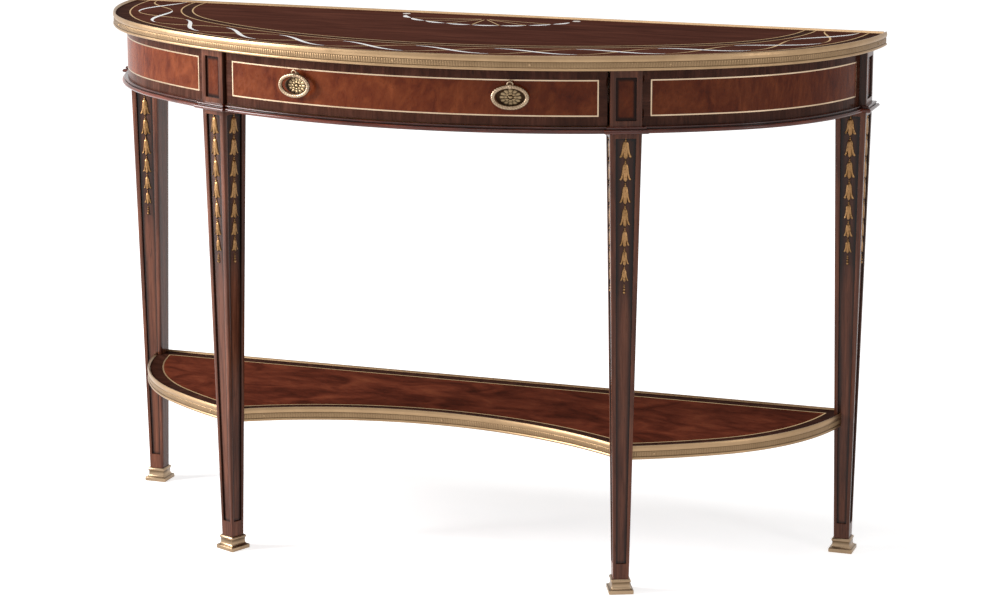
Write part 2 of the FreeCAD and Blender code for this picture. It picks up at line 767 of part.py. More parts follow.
for side, name in ((-1, "left"), (1, "right")):
    left = beside(side, runner_out, D.runner_width)
    guide_left = beside(side, runner_out, D.guide_thickness)
    bed = box("Dims.runner_width", runner_length, "Dims.runner_height",
              Vector(left, runner_front, frieze_low))
    guide = box("Dims.guide_thickness", runner_length, "Dims.guide_height",
                Vector(guide_left, runner_front, frieze_low + D.runner_height))
    keep(f"runner_{name}", cut(fuse(bed, guide), lower_blank, *front_stiles))
    kicker = box("Dims.runner_width", runner_length, f"{UNDERSIDE} - {SIDE_HIGH} - Dims.run_clearance",
                 Vector(left, runner_front, side_high + D.run_clearance))
    keep(f"kicker_{name}", cut(kicker, upper_blank, *front_stiles))


# Glue blocks and screws that hold the top

def screw(x, y, low, held):
    """Countersunk wood screw, head down, driven upwards from a level through what it holds."""
    start = Vector(x, y, low)
    head = bind(doc.addObject("Part::Cone", "head"), Radius1="Dims.screw_head / 2",
                Radius2="Dims.screw_diameter / 2", Height="Dims.screw_head_height")
    head.Placement.Base = start
    return fuse(head, rod("Dims.screw_diameter", f"{held} + Dims.screw_bite", start, UP))


block_low = underside - D.block_size
blocks = []
screws = []
for x in (-(runner_out + rail_end) / 2, -box_half / 2, box_half / 2, (runner_out + rail_end) / 2):
    corner = Vector(x - D.block_length / 2, rail_front - D.block_size, block_low)
    fixing = screw(x, rail_front - D.block_size / 2, block_low, "Dims.block_size")
    blocks.append(cut(box("Dims.block_length", "Dims.block_size", "Dims.block_size", corner), fixing))
    screws.append(fixing)
rail_screw_y = curve_y(upper_rail_inset + D.upper_rail_width / 2, box_half / 2)
rail_screws = [screw(side * box_half / 2, rail_screw_y, underside - D.upper_rail_thickness,
                     "Dims.upper_rail_thickness") for side in (-1, 1)]
screws += rail_screws
keep("top_blocks", group(*blocks))
keep("top_screws", group(*screws))
upper_tenons = [tenons[leg.name][2] for leg in front_legs]
keep("upper_rail", cut(upper_blank, *front_stiles, *upper_tenons, *rail_screws))


# Top panel, brass edge and pins

pins = []
pin_z = underside + D.edge_bead + D.edge_groove + D.edge_band / 2
pin_spacing = 2 * (half_length(0) - D.pin_end_gap) / (D.pin_count - 1)
for index in range(int(D.pin_count)):
    angle = angle_at(0, (index - (D.pin_count - 1) / 2) * pin_spacing)
    inwards = spot(D.pin_length, angle, pin_z) - spot(0, angle, pin_z)
    pins.append(rod("Dims.pin_diameter", "Dims.pin_length", spot(0, angle, pin_z), inwards))
top_pins = fuse(*pins)
rim = D.edge_thickness
panel_height = "Dims.edge_height - Dims.edge_lip - Dims.veneer_thickness"
keep("top_panel", cut(plate(half_oval(rim, rim), UNDERSIDE, panel_height), top_pins, *screws))
keep("top_edge_front", cut(moulded_horseshoe(edge_section(0, underside)), top_pins))
rim_corner = spot(rim, back_angle(rim, rim))
edge_back = doc.addObject("PartDesign::Body", "edge_back")
back_outline = edge_section(0, underside)(lambda depth, z: Vector(back_y - depth, z, 0))
pad(edge_back, draw(edge_back, "YZ_Plane", back_outline), 2 * rim_corner.x, True)
keep("top_edge_back", edge_back)


# Veneers of the top, from the edge inwards

def veneer(edges):
    return plate(edges, VENEER_LOW, "Dims.veneer_thickness")


widths = (D.border_width, D.string_width, D.ribbon_zone_width, D.string_width, D.dark_band_width,
          D.string_width)
insets = [rim]
for width in widths:
    insets.append(insets[-1] + width)
border, outer_string, ribbon_zone, zone_string, dark_band, field_string = [
    veneer(horseshoe(outer, inner, rim)) for outer, inner in zip(insets, insets[1:])]
field = veneer(half_oval(insets[-1], rim))
keep("top_border_veneer", border)
keep("top_strings", group(outer_string, zone_string, field_string))
keep("top_dark_band", dark_band)

ribbon_middle = (insets[2] + insets[3]) / 2
ribbon_pitch = 2 * (half_length(ribbon_middle) - D.ribbon_end_gap) / D.ribbon_strokes


def smooth(points):
    curve = Part.BSplineCurve()
    curve.interpolate(points)
    return curve


def stroke(index, direction, width):
    """One pass of a ribbon across its zone: half a cosine wave along the mid-line, widest in the middle."""
    samples = 9
    nudge = 0.01
    sides = ([], [])
    ticks = [step / (samples - 1) for step in range(samples)]

    def middle(t):
        inset = ribbon_middle + direction * D.ribbon_swing * cos(pi * t)
        return spot(inset, angle_at(ribbon_middle, (index + t) * ribbon_pitch), veneer_low)

    for t in ticks:
        ahead = middle(t + nudge) - middle(t - nudge)
        normal = UP.cross(ahead).normalize()
        reach = width / 2 * (D.stroke_taper + (1 - D.stroke_taper) * sin(pi * t))
        for edge, sign in zip(sides, (1, -1)):
            edge.append(middle(t) + normal * (sign * reach))
    left, right = sides
    edges = [smooth(left), line(left[-1], right[-1]), smooth(right), line(right[0], left[0])]
    return solid(edges, D.veneer_thickness)


strokes = range(-int(D.ribbon_strokes) // 2, int(D.ribbon_strokes) // 2)
pearl_strokes = Part.makeCompound([stroke(index, 1, D.pearl_width) for index in strokes])
brass_strokes = Part.makeCompound([stroke(index, -1, D.ribbon_brass_width) for index in strokes])
ribbon_pearl = common(ribbon_zone, feature(pearl_strokes))
ribbon_brass = cut(common(ribbon_zone, feature(brass_strokes)), feature(pearl_strokes))
keep("top_ribbon_veneer", cut(ribbon_zone, ribbon_pearl, ribbon_brass))

fan_y = back_y - rim


def fan_spot(share, out=0.0):
    """Point of the fan's half oval, at a share of the way round and pushed outwards."""
    rim_point = Vector(-D.fan_half_width * cos(pi * share), -D.fan_depth * sin(pi * share), 0)
    return rim_point + Vector(rim_point).normalize() * out + Vector(0, fan_y, veneer_low)


fan_start = 1.0 / (D.fan_scallops + 2)
fan_step = (1 - 2 * fan_start) / D.fan_scallops
fan_ease = D.fan_gap / (pi * (D.fan_half_width + D.fan_depth))
fan_pearl = []
fan_rays = []
hub = Vector(0, fan_y - D.fan_hub_depth, veneer_low)
for index in range(int(D.fan_scallops)):
    share = fan_start + index * fan_step
    start, stop, top = fan_spot(share + fan_ease), fan_spot(share + fan_step - fan_ease), share + fan_step / 2
    outer = Part.Arc(start, fan_spot(top, D.fan_bulge), stop)
    inner = Part.Arc(start, fan_spot(top, D.fan_bulge - D.fan_pearl_width), stop)
    fan_pearl.append(solid([outer, inner], D.veneer_thickness))
    if index > 0:
        cusp = fan_spot(share)
        way = (cusp - hub).normalize()
        across = UP.cross(way) * (D.fan_ray_width / 2)
        near, far = hub + way * D.fan_hub_radius, cusp - way * D.fan_ray_width
        ray = polygon(near - across, far - across, far + across, near + across)
        fan_rays.append(solid(ray, D.veneer_thickness))
for share in (fan_start / 2, 1 - fan_start / 2):
    ball = Part.makeCylinder(D.fan_ball_radius, D.veneer_thickness, fan_spot(share))
    fan_pearl.append(ball)
pearl_fan = feature(Part.makeCompound(fan_pearl))
brass_fan = feature(Part.makeCompound(fan_rays))
keep("top_field_veneer", cut(field, pearl_fan, brass_fan))
keep("top_pearl_inlay", group(ribbon_pearl, pearl_fan))
keep("top_brass_inlay", group(ribbon_brass, brass_fan))


# Drawer front and pulls

pull_angle = asin(D.pull_share * box_half / frieze_radius)
pull_z = (drawer_low + drawer_high) / 2
ring_z = pull_z + D.ring_rise
hinge_z = ring_z + (D.ring_height - D.ring_tube) / 2


def pull_frame(side, z):
    """Frame on the drawer face with -Y out of it."""
    return Placement(spot(D.frieze_inset, side * pull_angle, z), Rotation(UP, degrees(side * pull_angle)))


def rosette(side):
    """Thin oval back plate under an oval flower with a raised middle."""
    body = doc.addObject("PartDesign::Body", "rosette")
    body.Placement = pull_frame(side, pull_z)
    back_plate = oval(D.pull_plate_width, D.pull_plate_height, D.pull_plate_end_radius)
    pad(body, draw(body, "XZ_Plane", back_plate), "Dims.pull_plate_thickness")
    plate_edges = oval(D.rosette_width, D.rosette_height, D.rosette_end_radius)
    pad(body, draw(body, "XZ_Plane", plate_edges), "Dims.rosette_thickness / 2")
    boss = oval(D.rosette_width / 2, D.rosette_height / 2, D.rosette_end_radius / 2)
    pad(body, draw(body, "XZ_Plane", boss), "Dims.rosette_thickness")
    return body


def bolt(side):
    """Threaded tail of a pull, from its neck through the drawer front and past the nut."""
    frame = pull_frame(side, hinge_z)
    tail = "Dims.frieze_thickness + Dims.bolt_tail + Dims.ring_standoff / 2"
    start = frame.multVec(Vector(0, -D.ring_standoff / 2, 0))
    return rod("Dims.bolt_diameter", tail, start, frame.Rotation.multVec(Vector(0, 1, 0)))


def ring_shape(side):
    """Oval ring hanging from the hinge line, its tube following four tangent arcs."""
    body = doc.addObject("PartDesign::Body", "ring")
    forward = Placement(Vector(0, -D.ring_standoff, 0), Rotation())
    body.Placement = pull_frame(side, ring_z).multiply(forward)
    edges = oval(D.ring_width - D.ring_tube, D.ring_height - D.ring_tube, D.ring_end_radius)
    path = draw(body, "XZ_Plane", edges)
    top = Vector(0, (D.ring_height - D.ring_tube) / 2, 0)
    profile = draw(body, "YZ_Plane", [Part.Circle(top, UP, D.ring_tube / 2)])
    pipe = body.newObject("PartDesign::AdditivePipe", "pipe")
    pipe.Profile = profile
    pipe.Spine = (path, [f"Edge{number + 1}" for number in range(len(edges))])
    return body


def knuckle(side):
    """Ball on a neck, bored across for the ring, with a bolt through the drawer front."""
    frame = pull_frame(side, hinge_z)
    ball = bind(doc.addObject("Part::Sphere", "ball"), Radius="Dims.knuckle_radius")
    ball.Placement = frame.multiply(Placement(Vector(0, -D.ring_standoff, 0), Rotation()))
    neck = rod("Dims.knuckle_neck", "Dims.ring_standoff", frame.multVec(Vector(0, -D.ring_standoff, 0)),
               frame.Rotation.multVec(Vector(0, 1, 0)))
    bore_start = frame.multVec(Vector(-D.knuckle_radius, -D.ring_standoff, 0))
    bore = rod("(Dims.ring_tube + 2 * Dims.ring_clearance)", "2 * Dims.knuckle_radius", bore_start,
               frame.Rotation.multVec(ACROSS))
    return cut(fuse(ball, neck, bolt(side)), bore)


def nut(side):
    """Hexagon nut on the bolt, inside the drawer."""
    frame = pull_frame(side, hinge_z)
    hexagon = bind(doc.addObject("Part::Prism", "nut"), Circumradius="Dims.nut_width / sqrt(3)",
                   Height="Dims.nut_thickness")
    hexagon.Polygon = 6
    seat = Vector(0, D.frieze_thickness + D.nut_gap, 0)
    hexagon.Placement = frame.multiply(Placement(seat, Rotation(UP, Vector(0, 1, 0))))
    return cut(hexagon, bolt(side))


keep("pull_rosettes", group(*[rosette(side) for side in (-1, 1)]))
keep("pull_knuckles", group(*[knuckle(side) for side in (-1, 1)]))
keep("pull_nuts", group(*[nut(side) for side in (-1, 1)]))
keep("pull_ring_left", ring_shape(-1))
keep("pull_ring_right", ring_shape(1))

side_front = curve_y(front_back, box_half) - D.drawer_housing
side_back = rail_front - D.drawer_back_clearance
inner_half = box_half - D.drawer_side_thickness
groove_half = inner_half + D.drawer_groove


def tongue_outline():
    """Drawer bottom: bowed front edge in the drawer front's groove, straight sides and back."""
    inset = front_back - D.drawer_groove
    angle = asin(groove_half / (front_radius - inset))
    left, right = spot(inset, -angle), spot(inset, angle)
    back_left, back_right = Vector(left.x, side_back, 0), Vector(right.x, side_back, 0)
    straight = [line(left, back_left), line(back_left, back_right), line(back_right, right)]
    return along(inset, -angle, angle) + straight


drawer_bottom = keep("drawer_bottom", plate(tongue_outline(), BOTTOM_LOW, "Dims.drawer_bottom_thickness"))
drawer_sides = []
for side, name in ((-1, "left"), (1, "right")):
    board = box("Dims.drawer_side_thickness", side_back - side_front, "Dims.drawer_side_height",
                Vector(beside(side, box_half, D.drawer_side_thickness), side_front, side_low))
    drawer_sides.append(board)
    keep(f"drawer_side_{name}", cut(board, drawer_bottom))
back_height = f"{SIDE_HIGH} - {BOTTOM_LOW} - Dims.drawer_bottom_thickness - Dims.drawer_back_drop"
back_corner = Vector(-inner_half, side_back - D.drawer_back_thickness, bottom_high)
keep("drawer_back", box(2 * inner_half, "Dims.drawer_back_thickness", back_height, back_corner))

reach = D.leg_width / 2 + D.drawer_end_gap
cleared = "Dims.leg_width + 2 * Dims.drawer_end_gap"
drawer_ends = [box(cleared, cleared, "Dims.frieze_height", Vector(-reach, -reach, frieze_low), leg.frame)
               for leg in front_legs]
string_stop = lead - (D.leg_width / 2 + D.drawer_end_gap + D.string_end_gap) / frieze_radius
drawer_string = keep("drawer_string", string_loop(D.frieze_inset, -string_stop, string_stop))
bow = plate(band(D.frieze_inset, front_back, -lead, lead), DRAWER_LOW, f"{DRAWER_HIGH} - {DRAWER_LOW}")
keep("drawer_front", cut(bow, *drawer_ends, *drawer_sides, drawer_bottom, drawer_string,
                         *[bolt(side) for side in (-1, 1)]))


# Shelf: edges on the axes of the legs, with a hollow front

front_axis = front_legs[1].frame.Base
waist_y = back_y - D.top_depth * D.shelf_waist_share
hollow = waist_y - front_axis.y
bow_radius = (front_axis.x ** 2 + hollow ** 2) / (2 * hollow)
bow_y = waist_y - bow_radius


def shelf_corner(margin):
    """Direction of the normal where a side of the shelf meets its hollow front, both moved in."""
    outer, inner = front_radius - leg_inset - margin, bow_radius + margin
    y = (inner ** 2 - outer ** 2 + front_y ** 2 - bow_y ** 2) / (2 * (front_y - bow_y))
    return acos((front_y - y) / outer)


def shelf_outline(margin):
    """Closed outline of the shelf moved in by a margin."""
    inset = leg_inset + margin
    front, rear = shelf_corner(margin), back_angle(inset, D.shelf_back_inset + margin)
    bow_front = Part.Arc(spot(inset, front), Vector(0, waist_y + margin, 0), spot(inset, -front))
    straight = line(spot(inset, -rear), spot(inset, rear))
    return along(inset, front, rear) + along(inset, -rear, -front) + [bow_front, straight]


shelf_pin_z = shelf_edge_low + D.edge_bead + D.edge_groove + D.edge_band / 2
bow_half = asin(front_axis.x / bow_radius)
bow_reach = bow_half - (D.leg_width / 2 + D.shelf_pin_gap) / bow_radius
front_pins = []
for angle in (-bow_reach, 0, bow_reach):
    outwards = Vector(sin(angle), cos(angle), 0)
    start = Vector(0, bow_y, shelf_pin_z) + outwards * bow_radius
    front_pins.append(rod("Dims.pin_diameter", "Dims.pin_length", start, outwards))
side_pins = []
pin_lead = lead + (D.leg_width / 2 + D.shelf_pin_gap) / front_radius
pin_rear = back_angle(leg_inset, D.rear_leg_setback + D.leg_width + D.shelf_pin_gap)
for angle in (-pin_rear, -pin_lead, pin_lead, pin_rear):
    start = spot(leg_inset, angle, shelf_pin_z)
    inwards = spot(leg_inset + D.pin_length, angle, shelf_pin_z) - start
    side_pins.append(rod("Dims.pin_diameter", "Dims.pin_length", start, inwards))
shelf_pins = fuse(*front_pins, *side_pins)
keep("edge_pins", group(top_pins, shelf_pins))

tapers = [leg.taper for leg in legs]
string_outer = D.shelf_string_gap
string_edges = shelf_outline(string_outer) + shelf_outline(string_outer + D.string_width)
string_low = "Dims.shelf_surface - Dims.string_depth"
shelf_string = keep("shelf_string", plate(string_edges, string_low, "Dims.string_depth"))
shelf_board = plate(shelf_outline(rim), SHELF_LOW, "Dims.shelf_thickness")
keep("shelf_panel", cut(shelf_board, *tapers, *dowels.values(), shelf_string, shelf_pins))

shelf_front = doc.addObject("PartDesign::Body", "shelf_front")
bow_section = edge_section(0, shelf_edge_low)(lambda depth, z: Vector(waist_y + depth, z, 0))
turned(shelf_front, draw(shelf_front, "YZ_Plane", bow_section, axis=bow_y), 2 * degrees(bow_half), True)
keep("shelf_edge_front", cut(shelf_front, *[leg.taper for leg in front_legs], *front_pins))

shelf_sides = moulded_horseshoe(edge_section(leg_inset, shelf_edge_low))
zone = box(half_width - front_axis.x, rear_y - front_axis.y, "Dims.edge_height",
           Vector(front_axis.x, front_axis.y, shelf_edge_low))
shelf_right = keep("shelf_edge_right", cut(common(shelf_sides, zone), *tapers, *side_pins))
shelf_left = doc.addObject("Part::Mirroring", "mirrored")
shelf_left.Source = shelf_right
shelf_left.Normal = ACROSS
keep("shelf_edge_left", shelf_left)

shelf_back = doc.addObject("PartDesign::Body", "shelf_back")
shelf_back_y = back_y - D.shelf_back_inset
straight_section = edge_section(0, shelf_edge_low)(lambda depth, z: Vector(shelf_back_y - depth, z, 0))
pad(shelf_back, draw(shelf_back, "YZ_Plane", straight_section), 2 * (half_width - leg_inset), True)
keep("shelf_edge_back", cut(shelf_back, *[leg.taper for leg in rear_legs]))


# Check and write

doc.recompute()
for obj in doc.Objects:
    if "Invalid" in obj.State or "Error" in obj.State:
        raise RuntimeError(f"{obj.Name} ({obj.Label}) failed: {obj.State}")
for label, obj in nodes.items():
    if obj.Shape.isNull() or not obj.Shape.isValid() or not obj.Shape.Solids:
        raise RuntimeError(f"{label} has no valid solid")
os.makedirs("parts", exist_ok=True)
for label, obj in nodes.items():
    obj.Shape.exportStep(f"parts/{label}.step")
    print(f"{label}: {len(obj.Shape.Solids)} solids, {obj.Shape.Volume / 1000:.1f} cm3")
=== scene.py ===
from collections import namedtuple
from math import asin, cos, pi, radians, sin
import bpy
import numpy as np
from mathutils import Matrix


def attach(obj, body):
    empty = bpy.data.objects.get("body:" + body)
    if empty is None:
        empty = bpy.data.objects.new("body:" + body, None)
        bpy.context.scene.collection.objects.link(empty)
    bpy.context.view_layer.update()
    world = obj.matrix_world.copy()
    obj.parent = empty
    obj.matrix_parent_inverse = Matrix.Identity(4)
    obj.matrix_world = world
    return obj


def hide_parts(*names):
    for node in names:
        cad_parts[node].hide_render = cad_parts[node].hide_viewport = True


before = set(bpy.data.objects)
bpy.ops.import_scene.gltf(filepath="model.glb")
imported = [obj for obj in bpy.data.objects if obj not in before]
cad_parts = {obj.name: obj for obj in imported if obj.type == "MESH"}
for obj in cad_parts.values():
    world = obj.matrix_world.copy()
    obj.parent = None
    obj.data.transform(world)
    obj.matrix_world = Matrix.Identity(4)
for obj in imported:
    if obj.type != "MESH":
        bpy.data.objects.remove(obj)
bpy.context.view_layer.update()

# Half-oval console table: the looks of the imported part, in its own frame.
# Shapes are worked out in millimetres and put into the meshes in metres.

# Outline of the top: a front arc that runs on into two end arcs, and a straight back
HALF_WIDTH, BACK_Y, END_RADIUS = 700.0, 250.0, 405.0
FRONT_RADIUS = ((HALF_WIDTH ** 2 + 4 * BACK_Y ** 2 - 2 * HALF_WIDTH * END_RADIUS)
                / (2 * (2 * BACK_Y - END_RADIUS)))
FRONT_Y = FRONT_RADIUS - BACK_Y
END_X = HALF_WIDTH - END_RADIUS
TURN = asin(END_X / (FRONT_RADIUS - END_RADIUS))
FRONT_RUN = FRONT_RADIUS * TURN
HALF_RUN = FRONT_RUN + END_RADIUS * (pi / 2 - TURN)

# Top, frieze and its strings
VENEER_HIGH, UNDERSIDE, FRIEZE_LOW = 901.5, 881.5, 777.5
FRIEZE_INSET, FRIEZE_THICK = 24.0, 22.0
FRIEZE_RADIUS = FRONT_RADIUS - FRIEZE_INSET
STRING_LOW, STRING_HIGH, STRING_WIDTH, STRING_END = 804.25, 863.75, 2.1, 14.0
BORDER_INNER, DARK_OUTER, DARK_INNER = 29.0, 122.5, 140.0
RIM = 5.0

# Drawer and its pulls
DRAWER_LOW, DRAWER_HIGH, DRAWER_GAP = 789.5, 880.5, 3.5
PULL_SHARE, PULL_MARGIN = 0.593, 40.0
PULL_Z, RING_Z, HINGE_Z, STANDOFF = 835.0, 836.0, 853.3, 9.0
PLATE_WIDE, PLATE_HIGH = 24.6, 14.8
FLOWER_WIDE, FLOWER_HIGH = 18.0, 13.6
RING_WIDE, RING_HIGH, RING_TUBE = 27.8, 17.3, 3.55

# Legs: their taper, their places and their sunk panels
LEG_HALF, FOOT_HALF, LEG_LOW, LEG_PROUD = 26.15, 13.0, 4.0, 5.5
LEG_INSET = FRIEZE_INSET - LEG_PROUD + LEG_HALF
LEG_SHARE = 0.6723
LEAD = TURN * LEG_SHARE
LEG_X = (FRONT_RADIUS - LEG_INSET) * sin(LEAD)
LEG_Y = FRONT_Y - (FRONT_RADIUS - LEG_INSET) * cos(LEAD)
REAR_X, REAR_GAP = HALF_WIDTH - LEG_INSET, 18.0
REAR_Y = BACK_Y - REAR_GAP - LEG_HALF
LEG_PANEL, PILASTER_PANEL = (51.0, 769.0), (797.5, 868.0)
PANEL_DEPTH, PANEL_HALF, PANEL_FOOT_HALF = 3.0, 16.55, 7.7
GROUND_LOW, GROUND_HIGH = 495.0, 525.0
PULL_ANGLE = asin(PULL_SHARE * (LEG_X - PULL_MARGIN) / FRIEZE_RADIUS)

# Shelf: its hollow front is an arc through the front legs and the waist
SHELF_TOP, SHELF_EDGE_LOW, SHELF_BAND = 246.5, 226.0, 27.0
SHELF_BACK_GAP, SHELF_WAIST = 28.0, 280.5
WAIST_Y = BACK_Y - SHELF_WAIST
BOW_RADIUS = (LEG_X ** 2 + (WAIST_Y - LEG_Y) ** 2) / (2 * (WAIST_Y - LEG_Y))
BOW_Y = WAIST_Y - BOW_RADIUS
BOW_RUN = asin(LEG_X / BOW_RADIUS) * BOW_RADIUS


# Plan curves

def angle_of(run):
    """Direction of the outline's normal at a distance along it: run over the front radius, then the end radius."""
    far = np.abs(run) - FRONT_RUN
    return np.sign(run) * np.where(far > 0, TURN + far / END_RADIUS, np.abs(run) / FRONT_RADIUS)


def run_of(angle):
    """Distance along the outline at a direction of its normal: angle times radius, arc after arc."""
    far = np.abs(angle) - TURN
    return np.sign(angle) * np.where(far > 0, FRONT_RUN + far * END_RADIUS, np.abs(angle) * FRONT_RADIUS)


def back_angle(inset, gap):
    """Direction of the normal on an end arc, moved inwards, at a gap in front of the straight back."""
    return np.arccos(gap / (END_RADIUS - inset))


def leg_side(depth, gap):
    """Angle at the front arc's centre between a front leg's axis and a gap beside the leg, at a depth."""
    return asin((LEG_HALF + gap) / (FRONT_RADIUS - depth))


def plan(inset, angle):
    """Point of the outline moved inwards: the arc's centre plus (radius - inset) times (sin, -cos) of the angle."""
    inset, angle = np.broadcast_arrays(np.asarray(inset, float), np.asarray(angle, float))
    on_end = np.abs(angle) > TURN
    radius = np.where(on_end, END_RADIUS, FRONT_RADIUS) - inset
    x = np.where(on_end, np.sign(angle) * END_X, 0.0) + radius * np.sin(angle)
    y = np.where(on_end, BACK_Y, FRONT_Y) - radius * np.cos(angle)
    return np.stack([x, y], -1)


def outline(inset):
    """Curve at an inset from the outline of the top, by its run along the outline and a depth inwards."""
    return lambda depth, run: plan(inset + depth, angle_of(run))


def hollow_front(depth, run):
    """Hollow front of the shelf: an arc about a centre in front of the table, its depth away from that centre."""
    radius, angle = BOW_RADIUS + depth, run / BOW_RADIUS
    return np.stack([radius * np.sin(angle), BOW_Y + radius * np.cos(angle)], -1)


def straight_back(y):
    """Straight line along the back, its depth towards the front."""
    return lambda depth, run: np.stack(np.broadcast_arrays(-run + 0 * depth, y - depth + 0 * run), -1)


def spaced(first, last, step):
    """Even stations from first to last, about a step apart."""
    return np.linspace(first, last, max(2, int(np.ceil(abs(last - first) / step)) + 1))


def arc(x, z, radius, first, last, count):
    """Points of a circle in a section, between two angles in degrees."""
    angle = np.radians(np.linspace(first, last, count))
    return np.stack([x + radius * np.cos(angle), z + radius * np.sin(angle)], -1)


def bulge(first, last, reach, count):
    """Rounded bead between two points of a section: a half sine that leaves their line outwards."""
    share = np.linspace(0, 1, count)[:, None]
    line = np.asarray(first) * (1 - share) + np.asarray(last) * share
    return line - np.array([reach, 0]) * np.sin(pi * share)


def raised(xy, z):
    """Points of a plan, each with its height."""
    return np.concatenate([xy, np.broadcast_to(z, xy.shape[:-1])[..., None]], -1)


def carried(curve, stations, section, low):
    """Section of (depth, height) points carried along a curve: each point stays at its own depth and height."""
    return raised(curve(section[:, 0], stations[:, None]), low + section[:, 1])


def lengths(section):
    """Distance of each point of a section along it from the first."""
    return np.concatenate([[0.0], np.cumsum(np.hypot(*np.diff(section, axis=0).T))])


def run_uv(stations, section):
    """Pattern coordinates of a carried section: along the curve and along the section, in millimetres."""
    return np.stack(np.meshgrid(stations, lengths(section), indexing="ij"), -1)


def turned_to(points, place):
    """Points of a leg's own frame, turned about the upright and set down on the leg's place."""
    c, s = cos(place.angle), sin(place.angle)
    x, y, z = np.moveaxis(points, -1, 0)
    return np.stack([place.x + c * x - s * y, place.y + s * x + c * y, z], -1)


# Meshes

Patch = namedtuple("Patch", "points uv shade finish ring caps inside")


def patch(points, uv=None, shade=0.0, finish=0, ring=False, caps=False, inside=(0.0, 0.0, 0.0)):
    """A grid of points with its pattern coordinates, its share of darkening from age and painted shade, and its
    finish.
    A ring closes on itself along its columns, caps close its first and last row, and its faces turn away from the
    inside point."""
    size = points.shape[:2]
    uv = np.zeros((*size, 2)) if uv is None else uv
    return Patch(points, uv, np.broadcast_to(shade, size), finish, ring, caps, np.asarray(inside))


def closed(points, **more):
    """A grid that closes along its columns, with both of its ends capped."""
    return patch(points, ring=True, caps=True, **more)


def cells(rows, columns, ring):
    """Corner numbers of a grid's cells, going round its columns where they close."""
    index = np.arange(rows * columns).reshape(rows, columns)
    if ring:
        index = np.concatenate([index, index[:, :1]], 1)
    return np.stack([index[:-1, :-1], index[1:, :-1], index[1:, 1:], index[:-1, 1:]], -1).reshape(-1, 4)


def swept(points, faces):
    """Six times the volume between the origin and the faces, positive where they point away from it."""
    a, b, c, d = (points[faces[:, k]] for k in range(4))
    return (np.einsum("ij,ij->i", a, np.cross(b, c)) + np.einsum("ij,ij->i", a, np.cross(c, d))).sum()


def placed(name, data):
    """An object in the scene for a mesh, a lamp or a camera."""
    obj = bpy.data.objects.new(name, data)
    bpy.context.scene.collection.objects.link(obj)
    return obj


def piece(name, body, finishes, patches, nodes=(), crease=38):
    """One mesh of several grids, turned outwards and joined where they meet, riding on a body."""
    points, shades, uvs, faces, finish, count = [], [], [], [], [], 0
    for p in patches:
        rows, columns = p.points.shape[:2]
        flat, uv = p.points.reshape(-1, 3), p.uv.reshape(-1, 2)
        quads, ends = cells(rows, columns, p.ring), []
        if p.caps:
            ends = [np.arange(columns), np.arange(rows * columns - 1, (rows - 1) * columns - 1, -1)]
        fans = [np.stack([np.full(columns - 2, end[0]), end[1:-1], end[2:], end[2:]], -1) for end in ends]
        turn = 1 if sum(swept(flat - p.inside, part) for part in [quads] + fans) >= 0 else -1
        polygons = quads[:, ::turn].tolist() + [end[::turn].tolist() for end in ends]
        uvs.append(uv[np.concatenate([quads[:, ::turn].reshape(-1)] + [end[::turn] for end in ends])])
        faces += [[corner + count for corner in polygon] for polygon in polygons]
        finish += [p.finish] * len(polygons)
        points.append(flat)
        shades.append(p.shade.reshape(-1))
        count += len(flat)
    points, shades, uvs = np.concatenate(points), np.concatenate(shades), np.concatenate(uvs)
    _, first, place = np.unique(np.round(points, 4), axis=0, return_index=True, return_inverse=True)
    joined = place.reshape(-1).tolist()
    mesh = bpy.data.meshes.new(name)
    mesh.from_pydata((points[first] / 1000).tolist(), [], [[joined[corner] for corner in face] for face in faces])
    mesh.uv_layers.new(name="grain").data.foreach_set("uv", (uvs / 1000).astype(np.float32).reshape(-1))
    mesh.attributes.new("shade", "FLOAT", "POINT").data.foreach_set("value", shades[first].astype(np.float32))
    for one in finishes:
        mesh.materials.append(one)
    mesh.polygons.foreach_set("material_index", np.array(finish, np.int32))
    mesh.polygons.foreach_set("use_smooth", np.ones(len(faces), bool))
    mesh.set_sharp_from_angle(angle=radians(crease))
    mesh.update()
    obj = placed(name, mesh)
    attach(obj, body)
    if nodes:
        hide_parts(*nodes)


# Materials. A node given to a socket stands for its first output. Sockets 2 and 3 of a Mix node take numbers, 6 and 7
# colours, and its output 2 gives the colour; a Map Range node takes a value, the range it is in and its new range.

def colour(text):
    """Linear colour of an sRGB hex value."""
    raw = np.array([int(text[k:k + 2], 16) for k in (0, 2, 4)]) / 255
    return (*np.where(raw <= 0.04045, raw / 12.92, ((raw + 0.055) / 1.055) ** 2.4), 1.0)


def add(tree, kind, inputs=(), ramp=(), **settings):
    """A node with its settings, with values or links on its sockets and the stops of its ramp."""
    node = tree.nodes.new("ShaderNode" + kind)
    for name, value in settings.items():
        setattr(node, name, value)
    for key, value in dict(inputs).items():
        if isinstance(value, bpy.types.Node):
            value = value.outputs[0]
        if isinstance(value, bpy.types.NodeSocket):
            tree.links.new(value, node.inputs[key])
        else:
            node.inputs[key].default_value = value
    for k, (position, tone) in enumerate(ramp):
        stop = node.color_ramp.elements[k] if k < 2 else node.color_ramp.elements.new(position)
        stop.position, stop.color = position, colour(tone)
    return node


def blank(name):
    """A material with an empty node tree."""
    made = bpy.data.materials.new(name)
    made.use_nodes = True
    made.node_tree.nodes.clear()
    return made, made.node_tree


